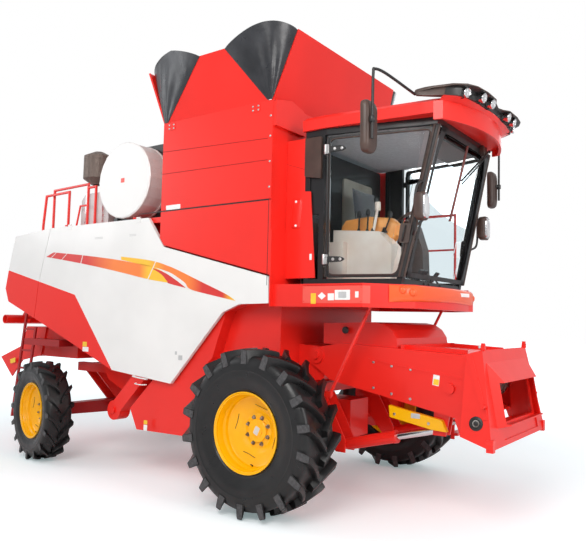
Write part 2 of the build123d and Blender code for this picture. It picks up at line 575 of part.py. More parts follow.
# Cab
SIDE_TAPER = (CAB_REAR_HALF - PILLAR_HEAD_HALF) / (PILLAR_HEAD_X - CAB_POST_X)
SIDE_ANGLE = atan2(CAB_REAR_HALF - PILLAR_HEAD_HALF, PILLAR_HEAD_X - CAB_POST_X)


def side_y(x, inset=0.0):
    """Half width of the cab's side at x."""
    return CAB_REAR_HALF - (x - CAB_POST_X) * SIDE_TAPER - inset


def pillar_x(z):
    """Front of the sloping pillar at height z."""
    return PILLAR_FOOT_X + (z - CAB_SILL) * (PILLAR_HEAD_X - PILLAR_FOOT_X) / (CAB_EAVES - CAB_SILL)


def side_panel(outline, depth):
    """A panel in the right cab side's plane from an (s, z) outline; s runs forward from the door post."""
    face = make_face(Polyline(*outline, close=True))
    plane = Plane((CAB_POST_X, -CAB_REAR_HALF, 0), x_dir=(cos(SIDE_ANGLE), sin(SIDE_ANGLE), 0),
                  z_dir=(sin(SIDE_ANGLE), -cos(SIDE_ANGLE), 0))
    return extrude(plane * face, amount=depth)


def make_cab_base():
    nose = Polyline((BASE_REAR, BASE_HALF), (BASE_REAR, -BASE_HALF), (880, -BASE_HALF),
                    (BASE_FRONT, -BASE_NOSE_HALF))
    nose += ThreePointArc((BASE_FRONT, -BASE_NOSE_HALF), (BASE_FRONT + 60, 0), (BASE_FRONT, BASE_NOSE_HALF))
    nose += Polyline((BASE_FRONT, BASE_NOSE_HALF), (880, BASE_HALF), (BASE_REAR, BASE_HALF))
    base = extrude(Plane.XY.offset(BASE_BOTTOM) * make_face(nose), amount=CAB_FLOOR - BASE_BOTTOM)
    wall, rib_half = 25, 30
    pocket = [(BASE_REAR + wall, -BASE_HALF + wall), (868, -BASE_HALF + wall),
              (BASE_FRONT - wall, -BASE_NOSE_HALF + 15),
              (BASE_FRONT - wall, BASE_NOSE_HALF - 15), (868, BASE_HALF - wall), (BASE_REAR + wall,
                                                                                  BASE_HALF - wall)]
    base -= plan_profile(pocket, BASE_BOTTOM, CAB_FLOOR - wall)
    for y in (-STRUT_Y, 0, STRUT_Y):
        reach = BASE_FRONT - 20 if y == 0 else 950
        base += box(BASE_REAR + 5, reach, y - rib_half, y + rib_half, BASE_BOTTOM + 60, CAB_FLOOR - 20)
    # raised fascia round the nose, and the lugs that the struts hang from
    lip = Polyline((900, -BASE_HALF - 2), (BASE_FRONT + 8, -BASE_NOSE_HALF))
    lip += ThreePointArc((BASE_FRONT + 8, -BASE_NOSE_HALF), (BASE_FRONT + 74, 0),
                         (BASE_FRONT + 8, BASE_NOSE_HALF))
    lip += Polyline((BASE_FRONT + 8, BASE_NOSE_HALF), (900, BASE_HALF + 2), (860, BASE_HALF - 40))
    lip += Polyline((860, BASE_HALF - 40), (860, -BASE_HALF + 40), (900, -BASE_HALF - 2))
    fascia = extrude(Plane.XY.offset(BASE_BOTTOM + 70) * make_face(lip),
                     amount=CAB_FLOOR - BASE_BOTTOM - 90)
    base += fascia - box(0, BASE_FRONT - 40, -2 * BASE_HALF, 2 * BASE_HALF, BASE_BOTTOM, CAB_FLOOR)
    for side in (-1, 1):
        lug_in = STRUT_Y + STRUT_EYE_HALF + SEAT
        base += box(STRUT_HEAD_X - 32, STRUT_HEAD_X + 32, side * lug_in, side * (lug_in + 14),
                    BASE_BOTTOM + 4, BASE_BOTTOM + 80)
    base += box(BASE_FRONT - 15, BASE_FRONT + 20, 370, BASE_NOSE_HALF, BASE_BOTTOM, BASE_BOTTOM + 90)
    keep("cab_base", base)

    eye_r = 26
    head_z = BASE_BOTTOM + 30
    struts = []
    for side in (-1, 1):
        y = side * STRUT_Y
        strut = flat_bar((STRUT_FOOT_X, y, STRUT_FOOT_Z), (STRUT_HEAD_X, y, head_z), 16)
        for x, z in ((STRUT_FOOT_X, STRUT_FOOT_Z), (STRUT_HEAD_X, head_z)):
            strut += drum_y(x, z, y - STRUT_EYE_HALF, y + STRUT_EYE_HALF, eye_r, 12)
        struts.append(strut)
    keep("cab_struts", *struts)


def make_cab_shell():
    floor, top = CAB_FLOOR + SEAT, CAB_EAVES
    w = PILLAR_W
    foot_half, foot_inner = side_y(PILLAR_FOOT_X), side_y(PILLAR_FOOT_X, w)
    outer = [(CAB_REAR, -CAB_REAR_HALF), (CAB_POST_X, -CAB_REAR_HALF), (PILLAR_FOOT_X, -foot_half),
             (PILLAR_FOOT_X, foot_half), (CAB_POST_X, CAB_REAR_HALF), (CAB_REAR, CAB_REAR_HALF)]
    inner = [(CAB_REAR + w, -CAB_REAR_HALF + w), (CAB_POST_X, -CAB_REAR_HALF + w),
             (PILLAR_FOOT_X - w, -foot_inner),
             (PILLAR_FOOT_X - w, foot_inner), (CAB_POST_X, CAB_REAR_HALF - w), (CAB_REAR + w,
                                                                                CAB_REAR_HALF - w)]
    frame = plan_profile(outer, floor, CAB_SILL - GAP) - plan_profile(inner, floor, CAB_SILL - GAP)
    head_inner = PILLAR_HEAD_HALF - w
    top_outer = outer[:2] + [(PILLAR_HEAD_X, -PILLAR_HEAD_HALF),
                             (PILLAR_HEAD_X, PILLAR_HEAD_HALF)] + outer[4:]
    top_inner = inner[:2] + [(PILLAR_HEAD_X - w, -head_inner), (PILLAR_HEAD_X - w, head_inner)] + inner[4:]
    frame += plan_profile(top_outer, top, top + CAB_HEADER_H) - plan_profile(top_inner, top,
                                                                             top + CAB_HEADER_H)
    post_front = CAB_POST_X - 20
    for side in (-1, 1):
        near, far = side * (CAB_REAR_HALF - w), side * CAB_REAR_HALF
        frame += box(CAB_REAR, CAB_REAR + w, near, far, floor, top + 10)
        frame += box(post_front - w, post_front, near, far, floor, top + 10)
        # dark quarter panel behind the door post
        frame += box(CAB_REAR + 10, post_front - 10, side * (CAB_REAR_HALF - 26),
                     side * (CAB_REAR_HALF - 12), 2740, top + 10)
        ends = []
        for x, z in ((PILLAR_FOOT_X, CAB_SILL - 40), (PILLAR_HEAD_X, top + 20)):
            half = side_y(x)
            ends.append([(x - w, side * half, z), (x, side * half, z), (x, side * (half - w), z),
                         (x - w, side * (half - w), z)])
        frame += between(*ends)
        for z in DOOR_HINGES_Z:
            knuckle = Pos(CAB_POST_X, side * CAB_REAR_HALF, z - 31) * Cylinder(DOOR_HINGE_R, 60)
            knuckle += Pos(CAB_POST_X, side * CAB_REAR_HALF, z) * Cylinder(DOOR_PIN_R, 122)
            knuckle += box(post_front - 10, CAB_POST_X, side * (CAB_REAR_HALF - 6),
                           side * (CAB_REAR_HALF + 6), z - 61, z - 1)
            frame += knuckle
    # header board under the roof above the windscreen
    frame += box(PILLAR_HEAD_X - w - 30, PILLAR_HEAD_X - w, -head_inner, head_inner, top - 70, top + 10)
    keep("cab_frame", frame)

    g = DOOR_T
    inside = CAB_REAR_HALF - w - SEAT
    rear_glass = box(CAB_REAR + 20, CAB_REAR + 20 + g, -inside, inside, CAB_SILL, top - SEAT)
    quarter = box(CAB_REAR + w + SEAT, post_front - w - SEAT, -CAB_REAR_HALF + 12, -CAB_REAR_HALF + 12 + g,
                  CAB_SILL, 2740 - SEAT)
    z0, z1 = CAB_SILL + SEAT, top - SEAT
    x0, x1 = pillar_x(z0) - 20, pillar_x(z1) - 20
    h0, h1 = side_y(x0, w + 8), side_y(x1, w + 8)
    back = [(x0, -h0, z0), (x0, h0, z0), (x1, h1, z1), (x1, -h1, z1)]
    screen = between(back, [(x + g, y, z) for x, y, z in back])
    keep("cab_glass", rear_glass, quarter, mirrored(quarter), screen)


DOOR_FRAME_W, DOOR_DEPTH = 34.0, 24.0
DOOR_HINGES_Z = (CAB_SILL + 175, CAB_EAVES - 150)
LATCH_LOW, LATCH_HIGH = 2430.0, 2600.0


def door_run(z):
    """Length of the door at height z, from the hinge line to its free edge."""
    return (pillar_x(z) - PILLAR_W - GAP - CAB_POST_X) / cos(SIDE_ANGLE)


def make_doors():
    low, high, b = CAB_SILL, CAB_EAVES - GAP, DOOR_FRAME_W
    outline = [(GAP, low), (door_run(low), low), (door_run(high), high), (GAP, high)]
    opening = [(GAP + b, low + b), (door_run(low + b) - b, low + b), (door_run(high - b) - b, high - b),
               (GAP + b, high - b)]
    leaf = side_panel(outline, -DOOR_DEPTH) - side_panel(opening, -DOOR_DEPTH)
    latch = [(door_run(LATCH_LOW) - 100, LATCH_LOW), (door_run(LATCH_LOW) - 8, LATCH_LOW),
             (door_run(LATCH_HIGH) - 8, LATCH_HIGH), (door_run(LATCH_HIGH) - 100, LATCH_HIGH)]
    leaf += side_panel(latch, 22) + side_panel(latch, -DOOR_DEPTH)
    for z in DOOR_HINGES_Z:
        place = Pos(CAB_POST_X, -CAB_REAR_HALF, z + 31)
        leaf += place * Cylinder(DOOR_HINGE_R, 60)
        leaf += side_panel([(0, z + 1), (GAP + b, z + 1), (GAP + b, z + 61), (0, z + 61)], 4)
        leaf -= place * Cylinder(DOOR_PIN_R + SEAT, 64)
        leaf -= Pos(CAB_POST_X, -CAB_REAR_HALF, z - 31) * Cylinder(DOOR_HINGE_R + 3, 64)
    middle = (low + high) / 2
    pane_outline = [(s + (SEAT if s < 200 else -SEAT), z + (SEAT if z < middle else -SEAT)) for s,
                    z in opening]
    pane = side_panel(pane_outline, -DOOR_T)
    pane -= side_panel([(s - 1 if s < door_run(LATCH_LOW) - 50 else s + 200,
                         z + (-1 if z < 2500 else 1)) for s, z in latch], -DOOR_T)
    keep("door_frame_r", leaf)
    keep("door_glass_r", pane)
    keep("door_frame_l", mirrored(leaf))
    keep("door_glass_l", mirrored(pane))


def visor_line(inset):
    """Front of the roof as two corners and a bow, drawn back by inset."""
    corner, bow, half = 1480 - inset, 1655 - inset, PILLAR_HEAD_HALF + 110 - inset
    return corner, bow, half


def make_roof():
    def outline(inset, rear):
        corner, bow, half = visor_line(inset)
        side_half = CAB_REAR_HALF + 30 - inset
        edge = Polyline((rear, side_half), (CAB_POST_X, side_half),
                        (1400 - inset, PILLAR_HEAD_HALF + 130 - inset), (corner, half))
        edge += ThreePointArc((corner, half), (bow, 0), (corner, -half))
        edge += Polyline((corner, -half), (1400 - inset, -PILLAR_HEAD_HALF - 130 + inset),
                         (CAB_POST_X, -side_half),
                         (rear, -side_half), (rear, side_half))
        return make_face(edge)

    rear = CAB_REAR - 20
    slab = extrude(Plane.XY.offset(ROOF_LOW) * outline(0, rear), amount=ROOF_H)
    slab = chamfer(slab.faces().sort_by(Axis.Z)[-1].edges(), 28)
    visor = extrude(Plane.XY.offset(ROOF_LOW - 62) * outline(0, rear), amount=70)
    visor -= extrude(Plane.XY.offset(ROOF_LOW - 62) * outline(22, rear - 100), amount=62)
    visor -= box(rear - 200, 1400, -1200, 1200, ROOF_LOW - 62, ROOF_LOW + 8)
    keep("cab_roof", slab + visor)


LAMP_PLACES = (230.0, 430.0, 640.0)
LAMP_R, LAMP_DEPTH = 42.0, 58.0
WORK_LAMP_X, WORK_LAMP_Y, WORK_LAMP_Z = 1290.0, 775.0, 2740.0
MIRROR_ARM_X, MIRROR_ARM_Y, MIRROR_X, MIRROR_Y = 1238.0, 1500.0, 1160.0, 1470.0


def make_lights():
    low = CAB_ROOF + SEAT
    high = low + 96
    # two lamp boxes joined by a slim bar, with end caps reaching back along the roof's edge
    half = [(1250, -850), (1440, -850), (1640, -770), (1735, -560), (1760, -170), (1735, -170), (1725, 10),
            (1690, 10),
            (1640, -170), (1560, -600), (1400, -740), (1250, -770)]
    pod = plan_profile(half, low, high)
    pod += mirrored(pod)
    lamps = []
    for y in LAMP_PLACES:
        for side in (-1, 1):
            face_x = 1772 - abs(y) * 0.06 - (60 if y == LAMP_PLACES[-1] else 0)
            turn = 14 * side if y == LAMP_PLACES[-1] else 4 * side
            place = Pos(face_x - 62, side * y, low + 48) * Rot(0, 0, turn) * Rot(0, 90, 0)
            lamps.append(place * Cylinder(LAMP_R, LAMP_DEPTH))
            pod -= place * Pos(0, 0, 60) * Cylinder(LAMP_R + SEAT, 2 * 60 + LAMP_DEPTH + 2 * SEAT)
    keep("light_pod", pod)
    keep("lamps", *lamps)

    work, mirrors = [], []
    tube_x, tube_r = WORK_LAMP_X - 60, 11
    for side in (-1, 1):
        y = side * WORK_LAMP_Y
        body = Pos(WORK_LAMP_X, y, WORK_LAMP_Z) * Box(106, 140, 256)
        body = chamfer(body.edges().filter_by(Axis.X), 34)
        upper, lower = WORK_LAMP_Z + 220, WORK_LAMP_Z - 240
        root = side_y(pillar_x(upper + tube_r)) + SEAT + 1
        lower_x = pillar_x(lower) - 30
        lower_root = side_y(pillar_x(lower + tube_r)) + SEAT + 1
        arm = pipe([(tube_x, side * root, upper), (tube_x, side * (root + 30), upper),
                    (tube_x, y, upper - 40),
                    (tube_x, y, lower + 60), (lower_x, side * (lower_root + 30), lower), (lower_x,
                                                                                          side * lower_root, lower)], tube_r)
        work.append(body + arm)
        place_z = CAB_ROOF + 30
        arm = pipe([(1264, side * (850 + SEAT), place_z), (1264, side * 900, place_z),
                    (MIRROR_ARM_X, side * MIRROR_ARM_Y, 3580),
                    (MIRROR_ARM_X, side * MIRROR_ARM_Y, 3170)], 13)
        shell = Pos(MIRROR_X, side * MIRROR_Y, 3290) * Box(70, 190, 430)
        shell = chamfer(shell.edges().filter_by(Axis.X), 38)
        shell = chamfer(shell.faces().sort_by(Axis.X)[-1].edges(), 24)
        clamp = flat_bar((MIRROR_ARM_X, side * MIRROR_ARM_Y, 3340), (MIRROR_X, side * MIRROR_Y, 3340), 16)
        mirrors.append(arm + shell + clamp)
    keep("work_lamps", *work)
    keep("mirrors", *mirrors)


def make_cab_inside():
    z = CAB_FLOOR + SEAT
    seat = box(380, 640, -170, 170, z, z + 330)
    cushion = chamfer((Pos(540, 0, z + 390) * Box(480, 500, 120)).edges(), 24)
    back = side_profile([(310, z + 440), (420, z + 440), (330, z + 1050), (220, z + 1050)], -240, 240)
    seat += cushion + chamfer(back.edges().filter_by(Axis.Y), 24)
    seat += box(330, 620, -320, -250, z + 560, z + 620) + box(330, 400, -320, -200, z + 440, z + 600)
    keep("seat", seat)
    column = side_profile([(830, z), (1000, z), (985, z + 380), (900, z + 640), (800, z + 600),
                           (850, z + 360)], -75, 75)
    column = chamfer(column.edges().filter_by(Axis.Y).sort_by(Axis.Z)[2:], 18)
    tilt = Pos(800, 0, z + 680) * Rot(0, -32, 0)
    column += tilt * Pos(0, 0, -70) * Cylinder(40, 140)
    rim_r, grip = 195, 15
    section = [(rim_r + grip * cos(a), grip * sin(a)) for a in (0, pi / 3, 2 * pi / 3, pi, -2 * pi / 3,
                                                                -pi / 3)]
    column += tilt * Rot(90, 0, 0) * flat_ring(section, 24)
    for angle in (90, 210, 330):
        column += tilt * Rot(0, 0, angle) * Pos(95, 0, 0) * Box(200, 30, 12)
    column += tilt * Cylinder(45, 30)
    keep("steering_column", column)
    console = side_profile([(260, z), (900, z), (900, z + 380), (760, z + 520), (260, z + 560)], -560, -360)
    console += flat_bar((640, -450, z + 500), (690, -450, z + 760), 14) + Pos(692, -450,
                                                                              z + 780) * Cylinder(28, 80)
    console += box(240, 420, -640, -360, z, z + 430)
    keep("console", console)


# Left platform with its handrails, and the ladder in front of the tyre
def make_access():
    y0, y1 = BASE_HALF + SEAT, 1500.0
    deck_top = CAB_FLOOR - 20
    deck = box(-60, 860, y0, y1, deck_top - 40, deck_top)
    edge = y1 - 30
    rail = pipe([(20, edge, deck_top - 10), (20, edge, 3030), (700, edge, 3030),
                 (700, edge, deck_top - 10)], 16)
    rail += flat_bar((20, edge, 2610), (700, edge, 2610), 12)
    rail += box(-60, 860, y1 - 12, y1, deck_top - 10, deck_top + 80)
    keep("platform", deck + rail)

    post_x, low, high = 820.0, 430.0, 1480.0
    ladder = box(post_x - 20, post_x + 20, 1120, 1140, low, high) + box(post_x - 20, post_x + 20, 1470,
                                                                        1490, low, high)
    for z in (470, 760, 1050, 1340):
        ladder += box(post_x - 40, post_x + 60, 1120, 1490, z, z + 30)
    arm_z0, arm_z1 = RAIL_BOTTOM + 15, RAIL_BOTTOM + 75
    ladder += box(50, 110, RAIL_Y + RAIL_W / 2 + SEAT, 1060, arm_z0, arm_z1)
    ladder += box(50, post_x, 1020, 1060, arm_z0, arm_z1)
    ladder += box(post_x - 40, post_x, 1020, 1130, arm_z0, arm_z1)
    keep("ladder", ladder)


# Engine deck
def hood_roof_z(x):
    (x0, z0), (x1, z1) = HOOD_OUTLINE[0], HOOD_OUTLINE[-1]
    return z0 + (x - x0) * (z1 - z0) / (x1 - x0)


def make_deck():
    engine_top = DECK_Z + 640
    keep("engine", box(-3050, -1900, -420, 480, DECK_Z, engine_top))
    housing_y = -BODY_HALF + DRUM_DEPTH + GAP
    housing = box(DRUM_X - 460, DRUM_X + 460, housing_y, -430, DECK_Z, DECK_Z + 940)
    housing -= box(DRUM_X - 470, DRUM_X + 470, housing_y, housing_y + 60, DECK_Z + 925, DECK_Z + 945)
    housing += shaft_y(DRUM_X, DRUM_Z, housing_y - 68, housing_y, 60)
    housing += box(DRUM_X - 190, DRUM_X - 130, -1060, housing_y + 20, DECK_Z, DECK_Z + 14)
    housing += box(DRUM_X - 190, DRUM_X - 130, -1060, -1050, DECK_Z, DECK_Z + 40)
    keep("radiator_housing", housing)
    cap_y = -BODY_HALF
    edge, step = 12.0, 8.0
    outline = [(0, DRUM_R - edge), (edge, DRUM_R), (26, DRUM_R), (26 + step, DRUM_R - step),
               (DRUM_DEPTH - 26 - step, DRUM_R - step), (DRUM_DEPTH - 26, DRUM_R), (DRUM_DEPTH, DRUM_R)]
    levels = [Pos(DRUM_X, DRUM_Z) * RegularPolygon(radius, 24) for depth, radius in outline]
    drum = None
    for (near, _), (far, _), low, high in zip(outline, outline[1:], levels, levels[1:]):
        start = Plane.XZ.offset(-cap_y - near) * low
        slice_solid = loft([start, Plane.XZ.offset(-cap_y - far) * high], ruled=True)
        drum = slice_solid if drum is None else drum + slice_solid
    drum -= shaft_y(DRUM_X, DRUM_Z, cap_y + DRUM_DEPTH - 70, cap_y + DRUM_DEPTH, 60 + SEAT)
    keep("screen_drum", drum)

    tank = Pos(-3060, -735, DECK_Z + 215) * Box(540, 330, 430)
    tank = chamfer(tank.edges().filter_by(Axis.Y).sort_by(Axis.Z)[2:], 80)
    tank += Pos(-2950, -735, DECK_Z + 430) * Cylinder(45, 60)
    keep("fuel_tank", tank)

    cleaner_x, cleaner_y, cleaner_z = -3390.0, -620.0, 3665.0
    bowl = flat_ring([(60, -215), (190, -150), (190, 150), (90, 220), (60, 220)], 24)
    bowl = Pos(cleaner_x, cleaner_y, cleaner_z) * Rot(-90, 0, 0) * bowl
    cleaner = bowl + Pos(cleaner_x, cleaner_y, cleaner_z) * Cylinder(80, 400)
    elbow_x, elbow_y, low_z = -2900.0, -300.0, cleaner_z - 60
    cleaner += bar((cleaner_x + 60, cleaner_y + 30, low_z), (elbow_x, elbow_y, low_z), 55)
    cleaner += bar((elbow_x, elbow_y, low_z + 52), (elbow_x, elbow_y, engine_top + SEAT), 56)
    keep("air_cleaner", cleaner)

    rails = []
    r = 17
    lean_clear = r * tan(radians(5)) + SEAT
    for side in (-1, 1):
        y, y_in = side * 1000, side * 960
        front_rail = pipe([(-3990, y, hood_roof_z(-3990) + lean_clear), (-3990, y, 2900), (-3943, y, 3280),
                           (-3450, y, 3290),
                           (-3450, y, DECK_Z)], r)
        high_rail = pipe([(-3830, y_in, hood_roof_z(-3830) + lean_clear), (-3830, y_in, 3350),
                          (-3120, y_in, 3365),
                          (-3120, y_in, DECK_Z)], r)
        brace_r = 12
        brace_foot = DECK_Z + brace_r * 70 / (3100 - DECK_Z)
        high_rail += pipe([(-3340, y_in, brace_foot), (-3270, y_in, 3100), (-3110, y_in, 3100)], brace_r)
        high_rail += pipe([(-2970, y_in, DECK_Z), (-2970, y_in, 3320), (-3130, y_in, 3320)], r)
        link = flat_bar((-3830, y, 3283), (-3830, y_in, 3283), 12)
        rails.append(front_rail + high_rail + link)
    # cradle under the folded auger, on the left
    cradle_x = -3900.0
    slope = (AUGER_TOP_Z - AUGER_END_Z) / (AUGER_X - AUGER_END_X)
    tube_low = AUGER_TOP_Z - (AUGER_X - cradle_x + 20) * slope - AUGER_R * hypot(1, slope)
    post_low = hood_roof_z(cradle_x) + 3
    rails[1] += box(cradle_x - 20, cradle_x + 20, 940, 1000, post_low, tube_low - SEAT)
    rails[1] += box(cradle_x - 20, cradle_x + 20, 940, AUGER_Y + 90, tube_low - 40, tube_low - SEAT)
    keep("deck_rails", *rails)

    elbow = flat_bar((AUGER_X, AUGER_Y, 2500), (AUGER_X, AUGER_Y, AUGER_TURN_Z), AUGER_R, 16)
    elbow += flat_bar((AUGER_X, AUGER_Y, 2620), (AUGER_X, BODY_HALF + SEAT, 2620), 100, 12)
    elbow += Pos(AUGER_X, AUGER_Y, AUGER_TURN_Z - 15) * Cylinder(AUGER_R + 22, 30)
    keep("auger_elbow", elbow)
    auger = pipe([(AUGER_X, AUGER_Y, AUGER_TURN_Z + SEAT), (AUGER_X, AUGER_Y, AUGER_TOP_Z),
                  (AUGER_END_X, AUGER_Y, AUGER_END_Z)],
                 AUGER_R)
    auger += Pos(AUGER_X, AUGER_Y, AUGER_TURN_Z + SEAT + 15) * Cylinder(AUGER_R + 22, 30)
    keep("unload_auger", auger)


# Straw side: chopper with its spreader, tow tube, and the ladder to the engine deck
def make_rear():
    chopper_half, plate_out = 850.0, 870.0
    under = CORE_BOTTOM - SEAT - 2
    chopper = side_profile([(-3340, 1180), (-3340, under + 282), (CORE_REAR - SEAT, 1480 - 2),
                            (CORE_REAR - SEAT, 1560),
                            (-4450, 1560), (-4384, 1240), (-4010, 1180)], -chopper_half, chopper_half)
    plate = side_profile([(-REAR_REACH, 1120), (-4520, 1305), (-4450, 1560), (-4000, 1560), (-4100, 1185),
                          (-4528, 1100),
                          (-4755, 869)], chopper_half, plate_out)
    chopper += plate + mirrored(plate)
    chopper += side_profile([(-REAR_REACH + 5, 1120), (-REAR_REACH + 8, 1106), (-4520, 1290), (-4380, 1300),
                             (-4450, 1560), (-4462, 1540),
                             (-4522, 1305)], -chopper_half - 5, chopper_half + 5)
    keep("straw_spreader", chopper)

    tube_x, tube_z, tube_r, tube_half = -4953.0, 1649.0, 62.0, 900.0
    tow = drum_y(tube_x, tube_z, -tube_half, tube_half, tube_r)
    tow -= drum_y(tube_x, tube_z, -tube_half, tube_half, tube_r - 8)
    normal = Vector(-175, 0, -83).normalized() * SEAT
    foot, knee = HOOD_OUTLINE[3], HOOD_OUTLINE[4]
    bracket = [(foot[0] + normal.X, foot[1] + normal.Z), (knee[0] + normal.X, knee[1] + normal.Z),
               (tube_x - 30, tube_z + 50), (tube_x + 20, tube_z + 20), (tube_x + 45, tube_z - 36)]
    for y in (-620, -600, 600, 620):
        tow += side_profile(bracket, y - 6, y + 6)
    tow += box(tube_x - 40, tube_x + 200, -640, -580, tube_z - 30, tube_z + 10)
    tow += box(tube_x - 40, tube_x + 200, 580, 640, tube_z - 30, tube_z + 10)
    keep("tow_tube", tow)

    y_out, y_in = -BODY_HALF + HOOD_SHEET + SEAT, -BODY_HALF + HOOD_SHEET + 25
    lean = (-4391.0 + 4206.0) / (382.0 - 1515.0)

    def rail_x(z):
        return -4206.0 + (z - 1515.0) * lean

    rail_w, spread = 34, 250
    left = side_profile([(rail_x(382) - rail_w / 2, 382), (rail_x(382) + rail_w / 2, 382),
                         (rail_x(1880) + rail_w / 2, 1880),
                         (rail_x(1880) - rail_w / 2, 1880)], y_out, y_in)
    right = side_profile([(rail_x(430) + spread - rail_w / 2, 430),
                          (rail_x(430) + spread + rail_w / 2, 430),
                          (rail_x(1560) + spread + rail_w / 2, 1560), (rail_x(1560) + spread - rail_w / 2,
                                                                       1560)], y_out, y_in)
    steps = left + right
    for z in (470, 740, 1010, 1240, 1520):
        steps += box(rail_x(z), rail_x(z) + spread, y_in - 22, y_in + 12, z, z + 24)
    steps += box(-4180, -3420, y_out, -plate_out - SEAT, 1330, 1410)
    keep("rear_ladder", steps)


# Feeder house, header frame and lift cylinders
def on_plate(z, forward=0.0):
    """X on the header frame's plate at height z."""
    share = (FRAME_TOP_Z - z) / (FRAME_TOP_Z - FRAME_FOOT_Z)
    return FRAME_TOP_X + share * (FRAME_FOOT_X - FRAME_TOP_X) + forward


def half_at(z):
    """Half width of the header frame's plate at height z."""
    share = (FRAME_TOP_Z - z) / (FRAME_TOP_Z - FRAME_FOOT_Z)
    return FRAME_TOP_HALF + share * (FRAME_FOOT_HALF - FRAME_TOP_HALF)


def chain_loop(extra):
    """Outline of the feeder chain's path, grown outwards by extra."""
    span = Vector(DRUM_FRONT_X - CHAIN_REAR_X, DRUM_FRONT_Z - CHAIN_REAR_Z)
    tilt = atan2(span.Y, span.X)
    points = []
    ends = ((DRUM_FRONT_X, DRUM_FRONT_Z, DRUM_FRONT_R, -pi / 2),
            (CHAIN_REAR_X, CHAIN_REAR_Z, CHAIN_REAR_R, pi / 2))
    for x, z, r, start in ends:
        for step in range(7):
            a = tilt + start + pi * step / 6
            points.append((x + (r + extra) * cos(a), z + (r + extra) * sin(a)))
    return points


